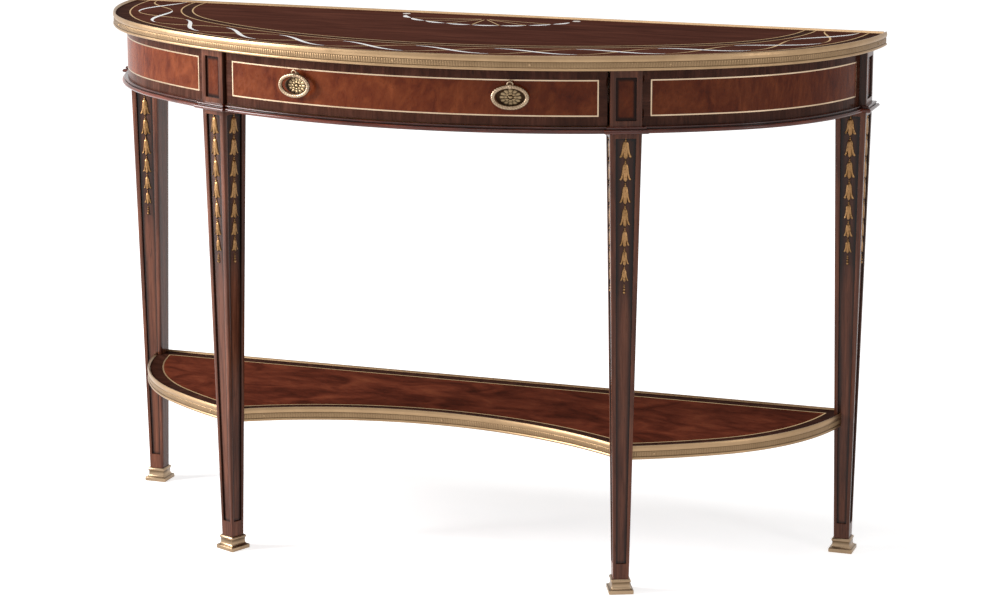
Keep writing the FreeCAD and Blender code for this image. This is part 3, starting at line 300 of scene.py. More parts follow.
def polished_wood(name, source, figure, grain, pores, tones, dark, stops=(0.28, 0.46, 0.58, 0.74), turn=0.0,
                  polish=0.26, shine=0.05, coat=0.06, gloss=0.06):
    """Lacquered veneer or solid wood: broad figure, streaks of grain, dark pores, and dark waxing with painted shade
    in its corners.
    Figure, grain and pores are sizes in millimetres; pores are drawn coarser than real ones, so that they show."""
    made, tree = blank(name)
    where = add(tree, "TexCoord").outputs[source]
    layers = []
    for sizes, detail, rough, bend in ((figure, 3.0, 0.55, 1.1), (grain, 4.0, 0.6, 0.35), (pores, 2.0, 0.5, 0.0)):
        place = add(tree, "Mapping", {"Vector": where, "Scale": tuple(size / 1000 for size in sizes),
                                      "Rotation": (0, 0, radians(turn))}, vector_type="TEXTURE")
        layers.append(add(tree, "TexNoise", {"Vector": place, "Scale": 1.0, "Detail": detail, "Roughness": rough,
                                             "Distortion": bend}))
    broad, streak, pore = layers
    blend = add(tree, "Mix", {0: 0.32, 2: broad, 3: streak})
    wood = add(tree, "ValToRGB", {0: blend}, ramp=zip(stops, tones))
    open_pore = add(tree, "MapRange", {0: pore, 1: 0.60, 2: 0.74, 3: 0.0, 4: 0.55})
    pored = add(tree, "Mix", {0: open_pore, 6: wood, 7: colour(dark)}, data_type="RGBA").outputs[2]
    # Darkening from the shade attribute: dark waxing and painted shade, mixed towards the dark tone
    wax_and_shade = add(tree, "Attribute", attribute_name="shade").outputs["Fac"]
    wax_and_shade_mixed = add(tree, "Mix", {0: wax_and_shade, 6: pored, 7: colour(dark)}, data_type="RGBA").outputs[2]
    sheen = add(tree, "MapRange", {0: streak, 1: 0.3, 2: 0.7, 3: polish - 0.05, 4: polish + 0.07})
    relief = add(tree, "Bump", {"Strength": 0.05, "Distance": 0.0004, "Height": streak})
    body = add(tree, "BsdfPrincipled", {"Base Color": wax_and_shade_mixed, "Roughness": sheen, "Normal": relief,
                                        "Specular IOR Level": shine, "Coat Weight": coat, "Coat Roughness": gloss})
    add(tree, "OutputMaterial", {"Surface": body})
    return made


# Figured mahogany under lacquer: soft upright blotches of red brown, with a soft sheen
flame = polished_wood("polished_flame_mahogany", "UV", (52, 36, 30), (26, 15, 12), (7, 1.6, 1),
                      ("491b0e", "642b16", "73371d", "894628"), "1c0c07", (0.28, 0.44, 0.56, 0.74), turn=76, coat=0.1,
                      gloss=0.16)
# Crossbanding of dark mahogany: short grain that stands square to the edge, nearly black in places
crossband = polished_wood("polished_dark_crossbanding", "UV", (24, 90, 40), (4.5, 60, 20), (2.2, 26, 10),
                          ("2e1913", "3a2119", "452920", "563328"), "140907", (0.30, 0.46, 0.58, 0.74), shine=0.0,
                          coat=0.02)
# Crossbanding of the frieze: the same wood under a brighter lacquer, in lighter tones as painted light on the upright
# frieze, red brown between dark lines
frieze_band_lit_copy = polished_wood("polished_frieze_crossbanding", "UV", (24, 90, 40), (4.5, 60, 20), (2.2, 26, 10),
                            ("361a12", "442519", "533024", "683e2f"), "1a0c09", (0.30, 0.46, 0.58, 0.74), shine=0.03,
                            coat=0.12, gloss=0.16)
# Straight-grained solid mahogany: lines that run up the leg, black waxing and painted shade in the corners of the
# panels
leg_wood = polished_wood("polished_solid_mahogany", "Object", (16, 16, 240), (3.2, 3.2, 90), (1.4, 1.4, 24),
                         ("3d2016", "5c3425", "734431", "8c5740"), "130a07", coat=0.3, gloss=0.16)
# Moulded mahogany: grain that follows the run of the bead, darker on the upper bead, painted shade in the groove
bead_wood = polished_wood("polished_mahogany_moulding", "UV", (120, 14, 14), (60, 4, 4), (22, 1.6, 1),
                          ("2b110b", "4f2014", "6d2f1c", "864028"), "150a07", shine=0.2, coat=0.4, gloss=0.1)
# Mahogany of the top: quiet reddish brown figure along the table, under a high polish
top_wood = polished_wood("high_polish_mahogany_top", "Object", (190, 34, 34), (80, 6, 6), (20, 1.6, 1),
                         ("3f2018", "4e2a20", "583126", "673b2d"), "2a130d", polish=0.2, shine=0.0, coat=0.012)
# Mahogany of the shelf: clouded red figure with short dark flecks
shelf_wood = polished_wood("polished_clouded_mahogany", "Object", (95, 60, 50), (44, 20, 18), (11, 2, 1),
                           ("3a190f", "5b291b", "723725", "8a4a31"), "260e08", (0.28, 0.44, 0.57, 0.74), turn=-8,
                           shine=0.0, coat=0.012)
# Sanded secondary hardwood of the carcass: pale brown, open grain, hardly any shine
sanded = {"tones": ("7a5636", "946b45", "a77c53", "b88d62"), "dark": "5a3d26", "polish": 0.55, "shine": 0.3,
          "coat": 0.0}
carcass_along = polished_wood("sanded_hardwood_lengthways", "Object", (200, 24, 24), (90, 4, 4), (24, 1.4, 1.4),
                              **sanded)
carcass_across = polished_wood("sanded_hardwood_crossways", "Object", (24, 200, 24), (4, 90, 4), (1.4, 24, 1.4),
                               **sanded)


def aged_brass(name, tones, tarnish_and_shade, smooth, rough, pitting=0.0, edge="ffffff"):
    """Satin brass under old lacquer: a warm metal with 40 mm clouds in its tone and 2.2 mm specks, which are coarser
    than real ones so that they show, and brown where the polish does not reach and where shade is painted."""
    made, tree = blank(name)
    where = add(tree, "TexCoord").outputs["Object"]
    clouds = add(tree, "TexNoise", {"Vector": where, "Scale": 1000 / 40.0, "Detail": 4.0, "Roughness": 0.6})
    specks = add(tree, "TexNoise", {"Vector": where, "Scale": 1000 / 2.2, "Detail": 2.0})
    metal = add(tree, "ValToRGB", {0: clouds}, ramp=zip((0.3, 0.7), tones))
    # Darkening from the shade attribute: patina in the hollows and painted shade
    patina_and_shade = add(tree, "Attribute", attribute_name="shade").outputs["Fac"]
    pits = add(tree, "MapRange", {0: specks, 1: 0.5, 2: 0.68, 3: 0.0, 4: pitting})
    patina_pits_and_shade = add(tree, "Math", {0: patina_and_shade, 1: pits}, operation="MAXIMUM")
    aged_and_shaded = add(tree, "Mix", {0: patina_pits_and_shade, 6: metal, 7: colour(tarnish_and_shade)}, data_type="RGBA").outputs[2]
    satin = add(tree, "MapRange", {0: specks, 1: 0.3, 2: 0.7, 3: smooth, 4: rough})
    relief = add(tree, "Bump", {"Strength": 0.03, "Distance": 0.0003, "Height": specks})
    body = add(tree, "BsdfPrincipled", {"Base Color": aged_and_shaded, "Metallic": 1.0, "Roughness": satin, "Normal": relief,
                                        "Specular Tint": colour(edge)})
    add(tree, "OutputMaterial", {"Surface": body})
    return made


# Drawn brass edging: satin straw gold with a soft broad highlight
edging_brass = aged_brass("satin_drawn_brass", ("967b5d", "a48868"), "4e3c28", 0.32, 0.44)
# Cast brass mounts: a browner gold, dull in the hollows of the casting from patina and painted shade
cast_brass = aged_brass("antique_cast_brass", ("81603c", "aa8259"), "2a190c", 0.26, 0.4, 0.6)
# Cast brass of the shoes: greyer from handling, soft shine
shoe_brass = aged_brass("worn_cast_brass", ("8f785f", "a18a70"), "4a3a28", 0.26, 0.38)
# Pale cast brass of the pulls: rubbed bright on the high parts, dark in the chasing from patina and painted shade
pull_brass = aged_brass("rubbed_cast_brass", ("988168", "b29c84"), "2e2114", 0.28, 0.42, 0.45)
# Chased brass of the flowers in the pulls: yellower gold, black in the lines of the chasing, patina and painted shade
chased_brass = aged_brass("chased_gilt_brass", ("8d775a", "ab9472"), "1f150b", 0.26, 0.4, 0.4)
# Brass stringing: thin pale line, polished flush with the veneer
string_brass = aged_brass("polished_brass_string", ("b9a084", "cab398"), "6b562f", 0.24, 0.34)
# Brass lines laid in the top and the shelf: pale gold, dulled level with the wood
inlay_brass = aged_brass("dulled_brass_inlay", ("cdb390", "dec6a4"), "54421f", 0.36, 0.48, edge="d2ba98")
# Blackened brass of the plates behind the pulls: nearly black, with a dull brown gleam
black_bronze = aged_brass("blackened_brass", ("2a1e15", "3d2c1e"), "1c130d", 0.4, 0.55)


def clouded(name, size, tones, smooth, rough, shader, distortion=0.0):
    """Plain material whose tone and gloss change in clouds of a size in millimetres."""
    made, tree = blank(name)
    where = add(tree, "TexCoord").outputs["Object"]
    clouds = add(tree, "TexNoise", {"Vector": where, "Scale": 1000 / size, "Detail": 3.0, "Distortion": distortion})
    tone = add(tree, "ValToRGB", {0: clouds}, ramp=tones)
    gloss = add(tree, "MapRange", {0: clouds, 1: 0.3, 2: 0.7, 3: smooth, 4: rough})
    body = add(tree, "BsdfPrincipled", {"Base Color": tone, "Roughness": gloss, **shader})
    add(tree, "OutputMaterial", {"Surface": body})
    return made


# Mother-of-pearl: white shell with faint clouds of rose and green, which shine unevenly under the polish
pearl = clouded("polished_mother_of_pearl", 12.0,
                [(0.3, "b9c2c0"), (0.45, "dcdcd6"), (0.6, "e6dfdb"), (0.75, "cfd6d8")], 0.16, 0.3,
                {"Coat Weight": 0.2, "Coat Roughness": 0.08}, distortion=2.0)
# Plain steel of screws and nuts: dull grey, marked by the lathe
steel = clouded("plain_turned_steel", 1.5, [(0.3, "6a6a6a"), (0.7, "8c8b88")], 0.3, 0.5, {"Metallic": 1.0})


# Brass edging of the top and of the shelf

BAND_LOW, BAND_HIGH, BAND_DEPTH, REED = 4.0, 14.3, 1.7, 4.5
edging_section = np.concatenate([
    bulge((0.9, 0.0), (0.9, BAND_LOW), 0.9, 9), [(BAND_DEPTH, 4.15), (BAND_DEPTH, 14.15)],
    bulge((0.9, BAND_HIGH), (0.9, 22.6), 0.9, 11), arc(1.8, 22.6, 0.9, 180, 90, 5)[1:],
    [(2.1, 23.5), (2.4, 23.45), (2.7, 23.2), (4.8, 20.4), (RIM, 20.0), (RIM, 0.4), (4.6, 0.0)]])
# Patina and painted shade on the sunk reeded band
edging_shade = np.where((edging_section[:, 0] == BAND_DEPTH) & (edging_section[:, 1] < BAND_HIGH), 0.8, 0.0)


def reeds(curve, first, last, low, inside):
    """Band of upright half-round reeds: a depth that follows a half circle over each reed, rounded at both ends."""
    count = int(round((last - first) / REED))
    stations = np.linspace(first, last, count * 6 + 1)
    phase = np.linspace(0, count, count * 6 + 1) % 1.0
    crest = np.sqrt(np.clip(1 - (2 * phase - 1) ** 2, 0, 1))[:, None]
    height = np.array([4.6, 5.2, 5.9, 12.4, 13.1, 13.7])
    full = np.array([0.0, 0.75, 1.0, 1.0, 0.75, 0.0])
    depth = BAND_DEPTH + 0.1 - full * (0.4 + 0.5 * crest)
    # Patina and painted shade, deepest between the reeds and towards the band's ends
    shade = np.clip(0.6 - 0.2 * crest + 0.2 * (1 - full), 0, 1)
    return patch(raised(curve(depth, stations[:, None]), low + height), shade=shade, inside=inside)


def edging(name, curve, first, last, low, node):
    """Moulded brass strip: bead, reeded band and lip carried along a curve, closed at both ends."""
    strip = carried(curve, spaced(first, last, 7.0), edging_section, low)
    piece(name, "table", [edging_brass],
          [closed(strip, shade=edging_shade), reeds(curve, first, last, low, strip.mean((0, 1)))], [node])


back_reach = plan(RIM, back_angle(RIM, RIM))[0]
side_first, side_last = run_of(LEAD), run_of(back_angle(LEG_INSET, REAR_GAP + LEG_HALF))
edging("top_edging_front", outline(0.0), -HALF_RUN, HALF_RUN, UNDERSIDE, "top_edge_front")
edging("top_edging_back", straight_back(BACK_Y), -back_reach, back_reach, UNDERSIDE, "top_edge_back")
edging("shelf_edging_left", outline(LEG_INSET), -side_last, -side_first, SHELF_EDGE_LOW, "shelf_edge_left")
edging("shelf_edging_right", outline(LEG_INSET), side_first, side_last, SHELF_EDGE_LOW, "shelf_edge_right")
edging("shelf_edging_front", hollow_front, -BOW_RUN, BOW_RUN, SHELF_EDGE_LOW, "shelf_edge_front")
edging("shelf_edging_back", straight_back(BACK_Y - SHELF_BACK_GAP), -REAR_X, REAR_X, SHELF_EDGE_LOW,
       "shelf_edge_back")
PIN_COUNT, PIN_END, PIN_GAP, PIN_RADIUS = 9, 51.0, 32.0, 2.0


def pin_heads(curve, runs, low):
    """Small domes on the reeded band: a rise of a quarter circle over the radius, about each pin's axis."""
    share, angle = np.meshgrid(np.linspace(0.08, 1.0, 5), np.linspace(0, 2 * pi, 13)[:-1], indexing="ij")
    rise = 0.9 * np.sqrt(1.04 - share ** 2) - 0.3
    z = low + (BAND_LOW + BAND_HIGH) / 2 + PIN_RADIUS * share * np.sin(angle)
    heads = []
    for run in runs:
        at, deep = curve(0.5, run), curve(1.5, run)
        normal = (at - deep) / np.linalg.norm(at - deep)
        across = np.array([-normal[1], normal[0]])
        flat = at + rise[..., None] * normal + (PIN_RADIUS * share * np.cos(angle))[..., None] * across
        # Painted shade round the foot of each dome
        heads.append(closed(raised(flat, z), shade=np.clip(share - 0.55, 0, 1)))
    return heads


top_pins = np.linspace(-(HALF_RUN - PIN_END), HALF_RUN - PIN_END, PIN_COUNT)
front_pins = np.array([-1, 0, 1]) * (BOW_RUN - LEG_HALF - PIN_GAP)
side_pins = np.array([side_first + LEG_HALF + PIN_GAP,
                      run_of(back_angle(LEG_INSET, REAR_GAP + 2 * LEG_HALF + PIN_GAP))])
piece("edging_pins", "table", [edging_brass],
      pin_heads(outline(0.0), top_pins, UNDERSIDE) + pin_heads(hollow_front, front_pins, SHELF_EDGE_LOW)
      + pin_heads(outline(LEG_INSET), np.concatenate([-side_pins, side_pins]), SHELF_EDGE_LOW), ["edge_pins"])


# Crossbanded veneer of the top and of the shelf

def veneer_band(name, outer, inner, node):
    """Flat strip between two insets of the outline, its grain square to the edge, with a thin edge below."""
    section = np.array([(outer, -0.8), (outer, 0.0), (inner, 0.0), (inner, -0.8)])
    stations = spaced(-HALF_RUN, HALF_RUN, 7.0)

    def cut_back(depth, run):
        """The outline's curve, stopped where it comes to the back edging."""
        limit = back_angle(depth, RIM)
        return plan(depth, np.clip(angle_of(run), -limit, limit))

    piece(name, "table", [crossband],
          [closed(carried(cut_back, stations, section, VENEER_HIGH), uv=run_uv(stations, section))], [node])


veneer_band("top_crossband_outer", RIM, BORDER_INNER, "top_border_veneer")
veneer_band("top_crossband_inner", DARK_OUTER, DARK_INNER, "top_dark_band")


def shelf_loop(margin, count=60):
    """Outline of the shelf moved in: hollow front, right side, straight back and left side, corner to corner. The
    front corners are where the circle of the sides meets the circle of the hollow."""
    inset = LEG_INSET + margin
    outer, inner = FRONT_RADIUS - inset, BOW_RADIUS + margin
    y = (inner ** 2 - outer ** 2 + FRONT_Y ** 2 - BOW_Y ** 2) / (2 * (FRONT_Y - BOW_Y))
    corner, rear = np.arccos((FRONT_Y - y) / outer), back_angle(inset, SHELF_BACK_GAP + margin)
    bow = np.arcsin(outer * np.sin(corner) / inner)
    share = np.linspace(0, 1, count)
    angle = -bow + 2 * bow * share
    front = np.stack([inner * np.sin(angle), BOW_Y + inner * np.cos(angle)], -1)
    right = plan(inset, corner + (rear - corner) * share)
    back = right[-1] * np.stack([1 - 2 * share, np.ones(count)], -1)
    left = (right * np.array([-1, 1]))[::-1]
    return np.concatenate([front[:-1], right[:-1], back[:-1], left[:-1]])


def shelf_band():
    """Crossbanded border of the shelf: a strip between two loops, its edges turned down into the panel."""
    outer, inner = shelf_loop(RIM), shelf_loop(SHELF_BAND)
    proud, sunk = SHELF_TOP + 0.06, SHELF_TOP - 0.6
    points = np.stack([raised(outer, sunk), raised(outer, proud), raised(inner, proud), raised(inner, sunk)])
    across, along = np.meshgrid([-0.6, 0.0, 22.0, 22.6], lengths(outer), indexing="ij")
    return patch(points, uv=np.stack([along, across], -1), ring=True, inside=(0, 60, SHELF_TOP - 40))


piece("shelf_crossband", "table", [crossband], [shelf_band()])


# Drawer front and frieze panels

def veneered_front(name, body, ends, strings, low, high, node):
    """Bowed panel: figured veneer inside a crossbanded frame on the outline's curve, with plain back and edges. Its
    columns run from end to end at every depth, so that the ends stay square to the legs beside them."""
    first, last = ends(FRIEZE_INSET)
    breaks = [(angle - first) / (last - first) for angle in strings]
    spans = [spaced(a, b, 0.006) for a, b in zip([0.0] + breaks, breaks + [1.0])]
    columns = np.concatenate([spans[0], spans[1][1:], spans[2][1:]])
    left, right = len(spans[0]) - 1, len(spans[0]) + len(spans[1]) - 2
    inside = np.append(plan(FRIEZE_INSET + 2 * FRIEZE_THICK, (first + last) / 2), (low + high) / 2)

    def surface(depths, heights, part):
        """Points at a line of depths and heights over some of the columns, with their run along the face."""
        depth = FRIEZE_INSET + depths
        start, stop = np.array([ends(d) for d in depth]).T
        angle = start + (stop - start) * columns[part][:, None]
        return raised(plan(depth, angle), heights), (angle - first) * FRIEZE_RADIUS

    def veneer(part, bottom, top, finish, upright=True):
        """Sheet of veneer on the face, its pattern upright or lying."""
        heights = spaced(bottom, top, 15.0)
        points, run = surface(0 * heights, heights, part)
        uv = np.stack([run, points[..., 2]], -1)
        return patch(points, uv=uv if upright else uv[..., ::-1], finish=finish, inside=inside)

    def end_grain(part):
        """Plain end of the panel between its face and its back."""
        heights = np.array([low, STRING_LOW, STRING_HIGH, high])
        sides = [surface(np.full(4, depth), heights, part)[0][0] for depth in (0.0, FRIEZE_THICK)]
        return patch(np.stack(sides), finish=2, inside=inside)

    depths = np.array([0, FRIEZE_THICK, FRIEZE_THICK, 0])
    points, run = surface(depths, np.array([high, high, low, low]), slice(None))
    shell = patch(points, uv=np.stack([run, points[..., 2] + depths], -1), finish=2, inside=inside)
    piece(name, body, [flame, frieze_band_lit_copy, leg_wood],
          [veneer(slice(left, right + 1), STRING_LOW, STRING_HIGH, 0), veneer(slice(None), STRING_HIGH, high, 1),
           veneer(slice(None), low, STRING_LOW, 1), veneer(slice(left + 1), STRING_LOW, STRING_HIGH, 1, False),
           veneer(slice(right, None), STRING_LOW, STRING_HIGH, 1, False), shell,
           end_grain(slice(1)), end_grain(slice(-1, None))], [node])


def string_frame(name, body, first, last, node):
    """Thin brass rectangle on a curved face: four strips, each a shallow channel turned down into the veneer."""
    step = STRING_WIDTH / FRIEZE_RADIUS
    depth = FRIEZE_INSET + np.array([0.3, -0.1, -0.1, 0.3])
    strips = []
    for bottom, top, a, b in ((STRING_LOW, STRING_LOW + STRING_WIDTH, first, last),
                              (STRING_HIGH - STRING_WIDTH, STRING_HIGH, first, last),
                              (STRING_LOW, STRING_HIGH, first, first + step),
                              (STRING_LOW, STRING_HIGH, last - step, last)):
        xy = plan(depth, spaced(a, b, 0.008)[:, None])
        strips.append(closed(raised(xy, np.array([bottom, bottom, top, top]))))
    piece(name, body, [string_brass], strips, [node])


def frieze_ends(side):
    """Both ends of a frieze panel, by depth: the side of the front leg and the front of the rear leg."""
    def ends(depth):
        """The two angles, the left one first."""
        near, far = LEAD + leg_side(depth, 0.0), back_angle(depth, REAR_GAP + 2 * LEG_HALF)
        return (near, far) if side > 0 else (-far, -near)
    return ends


def drawer_ends(depth):
    """Both ends of the drawer front, by depth: a gap inside the front legs."""
    end = LEAD - leg_side(depth, DRAWER_GAP)
    return -end, end


string_front = LEAD + (LEG_HALF + STRING_END) / FRIEZE_RADIUS
string_rear = back_angle(FRIEZE_INSET, REAR_GAP + 2 * LEG_HALF + STRING_END)
for side, hand in ((-1, "left"), (1, "right")):
    string_ends = sorted((side * string_front, side * string_rear))
    veneered_front(f"frieze_panel_{hand}", "table", frieze_ends(side), string_ends, FRIEZE_LOW, UNDERSIDE,
                   f"frieze_{hand}")
    string_frame(f"frieze_string_{hand}", "table", *string_ends, "frieze_strings")
string_end = LEAD - (LEG_HALF + DRAWER_GAP + STRING_END) / FRIEZE_RADIUS
veneered_front("drawer_face", "drawer", drawer_ends, (-string_end, string_end), DRAWER_LOW, DRAWER_HIGH,
               "drawer_front")
string_frame("drawer_face_string", "drawer", -string_end, string_end, "drawer_string")


# Base moulding and its returns round the legs

moulding_section = np.concatenate([
    [(0.0, 0.0), (7.2, 0.0)], arc(7.2, 3.3, 3.3, -90, 90, 13), [(5.2, 6.7), (5.2, 7.2)],
    arc(4.4, 9.1, 1.9, -75, 90, 9), [(0.0, 11.0)]])
moulding_high = moulding_section[:, 1]
# Darker upper bead, and painted shade in the groove between the beads
moulding_shade = np.where(moulding_high > 6.6, 0.55, 0.0) + np.where(np.abs(moulding_high - 6.9) < 0.5, 0.35, 0.0)


def moulding(name, first, last, node):
    """Two beads, the larger below, carried along the frieze."""
    stations = spaced(first, last, 7.0)
    points = carried(outline(FRIEZE_INSET), stations, moulding_section * np.array([-1.0, 1.0]), FRIEZE_LOW)
    piece(name, "table", [bead_wood],
          [closed(points, uv=run_uv(stations, moulding_section), shade=moulding_shade)], [node])


leg_angle = asin(LEG_HALF / FRIEZE_RADIUS)
inner_run, outer_run = run_of(LEAD - leg_angle), run_of(LEAD + leg_angle)
rear_run = run_of(back_angle(FRIEZE_INSET, REAR_GAP + LEG_HALF))
moulding("moulding_front", -inner_run, inner_run, "base_moulding_front")
moulding("moulding_left", -rear_run, -outer_run, "base_moulding_left")
moulding("moulding_right", outer_run, rear_run, "base_moulding_right")

Leg = namedtuple("Leg", "name side x y angle")
legs = [Leg("front_left", -1, -LEG_X, LEG_Y, -LEAD), Leg("front_right", 1, LEG_X, LEG_Y, LEAD),
        Leg("rear_left", -1, -REAR_X, REAR_Y, -pi / 2), Leg("rear_right", 1, REAR_X, REAR_Y, pi / 2)]


def capital(leg):
    """The same moulding broken forward round a leg: a path of three straight runs with mitred corners."""
    front, back = -LEG_HALF, LEG_PROUD - LEG_HALF
    path = np.array([(-LEG_HALF, back), (-LEG_HALF, front), (LEG_HALF, front), (LEG_HALF, back)])
    way = np.array([(-1, 0), (-1, -1), (1, -1), (1, 0)], float)
    xy = path[:, None] + way[:, None] * moulding_section[:, :1]
    # The moulding's darkening, weaker: darker upper bead and painted shade in the groove
    return closed(turned_to(raised(xy, FRIEZE_LOW + moulding_high), leg), uv=run_uv(lengths(path), moulding_section),
                  shade=moulding_shade * 0.6)


piece("leg_mouldings", "table", [bead_wood], [capital(leg) for leg in legs], ["leg_capitals"],
      crease=30)


# Legs

def tapered(z, foot, top):
    """Half width that grows in a straight taper from the foot to the frieze and then stays."""
    return foot + (top - foot) * np.clip((z - LEG_LOW) / (FRIEZE_LOW - LEG_LOW), 0, 1)


def on_side(across, out, turn):
    """Plan of a face's points in the leg's frame: across the face and out of the leg's middle, turned with it."""
    return np.stack([across * cos(turn) + out * sin(turn), across * sin(turn) - out * cos(turn)], -1)


def on_face(leg, turn, across, z, out):
    """Points on a leg's face: across it, at a height, and out from the floor of the sunk panel there."""
    reach = tapered(z, FOOT_HALF, LEG_HALF) - PANEL_DEPTH + out
    return turned_to(raised(on_side(across, reach, turn), z), leg)


def under(leg, turn, z):
    """Point inside a leg behind one of its faces."""
    return on_face(leg, turn, 0.0, z, -6.0)


def sunk_panels(levels, panels):
    """Which levels lie within sunk panels, and how near each is to a panel's ends, as a share of 6 mm."""
    deep, near = np.zeros(len(levels)), np.zeros(len(levels))
    for low, high in panels:
        deep = np.where((levels > low + 0.25) & (levels < high - 0.25), 1.0, deep)
        gap = np.minimum(np.abs(levels - low), np.abs(levels - high))
        near = np.maximum(near, np.clip(1 - gap / 6.0, 0, 1))
    return deep[:, None], near[:, None]


def leg_mesh(leg):
    """Tapered square leg: its section goes round four faces with rounded corners, and on two of them steps down into
    a sunk panel between given heights; the sections are stacked upwards. Dark waxing and painted shade darken the
    panel corners and ends, dark waxing the ground behind the husks, and painted shade the sides over the moulding."""
    steps = [z + gap for z in LEG_PANEL + PILASTER_PANEL for gap in (-6, -0.5, 0, 0.5, 6)]
    levels = np.unique(np.concatenate([[LEG_LOW, 30.0, 505.0, 515.0, FRIEZE_LOW - 0.05, FRIEZE_LOW, UNDERSIDE],
                                       spaced(*LEG_PANEL, 60.0), steps]))
    levels = levels[(levels >= LEG_LOW) & (levels <= UNDERSIDE)]
    level = levels[:, None]
    w, r = tapered(level, FOOT_HALF, LEG_HALF), tapered(level, PANEL_FOOT_HALF, PANEL_HALF)
    ground = np.clip((level - GROUND_LOW) / (GROUND_HIGH - GROUND_LOW), 0, 1) * (level < FRIEZE_LOW)
    upper = (level > FRIEZE_LOW + 11).astype(float)
    # From the edge of a face to its middle: where a column lies, its share of the panel's depth, its share of dark
    # waxing and painted shade
    half_face = [(w - 1.4, 0.0, 0.0), (r + 0.7, 0.0, 0.12), (r + 0.2, 0.12, 0.5), (r - 0.15, 1.0, 1.0),
                 (r - 2.2 - 2.4 * upper, 1.0, 0.8), (0.45 * r, 1.0, 0.12)]
    face = [(-x, sunk, wax_and_shade) for x, sunk, wax_and_shade in half_face] + [(0 * r, 1.0, 0.0)] + half_face[::-1]
    panels = {0.0: (LEG_PANEL, PILASTER_PANEL), -leg.side * pi / 2: (LEG_PANEL,)}
    columns, shades = [], []
    for turn in (0.0, pi / 2, pi, -pi / 2):
        deep, near = sunk_panels(levels, panels.get(turn, ()))
        # Painted shade on the sides of the leg over the moulding
        painted_side_shade = 0.75 * upper * (turn != 0.0)
        for x, sunk, wax_and_shade in face:
            floor = deep * (sunk == 1)
            columns.append(on_side(x, w - PANEL_DEPTH * sunk * deep, turn))
            # Dark waxing and painted shade at the panels' corners and ends, dark waxing on the ground behind the
            # husks
            shade = 0.9 * wax_and_shade * deep + 0.8 * near * floor + 0.45 * ground * floor + painted_side_shade
            shades.append(np.clip(shade, 0, 1))
        columns.append(on_side(w - 0.41, w - 0.41, turn))
        shades.append(0 * w)
    points = raised(np.concatenate(columns, 1), level)
    return closed(turned_to(points, leg), shade=np.concatenate(shades, 1))


def pilaster_panel(leg):
    """Sheet of figured veneer on the floor of the sunk panel over the moulding, black along its edges with dark
    waxing and painted shade.
    """
    half, middle, (low, high) = PANEL_HALF - 0.1, 832.0, PILASTER_PANEL
    across, z = np.meshgrid([-half, 3.2 - half, 6.0 - half, 0.0, half - 6.0, half - 3.2, half],
                            [low + 0.3, low + 4.1, low + 7.5, middle, high - 8.0, high - 4.0, high - 0.3])
    # Dark waxing and painted shade along the sheet's edges
    wax_and_shade = np.array([1.0, 0.9, 0.25, 0.0, 0.25, 0.9, 1.0])
    points = on_face(leg, 0.0, across, z, 0.08)
    return patch(points, uv=np.stack([across + leg.x, z], -1), shade=np.maximum(wax_and_shade[None, :], wax_and_shade[:, None]), finish=1,
                 inside=under(leg, 0.0, middle))


for leg in legs:
    piece(f"leg_wood_{leg.name}", "table", [leg_wood, flame], [leg_mesh(leg), pilaster_panel(leg)],
          [f"leg_{leg.name}"], crease=40)


# Brass shoes

cove = np.linspace(0, pi / 2, 7)
shoe_section = np.concatenate([
    [(19.6, 0.0)], arc(19.6, 1.15, 1.15, -60, 0, 3), [(20.75, 5.9)], arc(19.6, 6.05, 1.15, 15, 90, 4),
    [(18.7, 7.3), (18.5, 7.7)], np.stack([18.3 - 3.1 * np.sin(cove), 8.0 + 5.2 * (1 - np.cos(cove))], -1),
    [(15.2, 18.3), (15.5, 18.8)], bulge((15.5, 18.9), (15.5, 24.1), -1.15, 7),
    [(15.1, 24.5), (14.6, 24.7), (13.3, 24.7)]])
shoe_wide, shoe_high = shoe_section.T
# Painted shade in the two grooves and on the narrow top round the foot of the leg
shoe_shade = np.where((np.abs(shoe_high - 7.5) < 0.4) | (np.abs(shoe_high - 18.6) < 0.35) | (shoe_wide < 14.0),
                      0.7, 0.0)


def square_ring(half, soft=1.2):
    """Squares with rounded corners: the middle of each corner plus a small arc about it."""
    corner = np.repeat(np.radians([45, 135, 225, 315]), 4)
    angle = corner + np.radians(np.tile([-35, -15, 15, 35], 4))
    middle = np.sign(np.stack([np.cos(corner), np.sin(corner)], -1))
    return middle * (half[:, None, None] - soft) + soft * np.stack([np.cos(angle), np.sin(angle)], -1)


for leg in legs:
    points = turned_to(raised(square_ring(shoe_wide), shoe_high[:, None]), leg)
    piece(f"shoe_{leg.name}", "table", [shoe_brass], [closed(points, shade=shoe_shade[:, None])],
          [f"sabot_{leg.name}"], crease=42)


# Bellflower husks

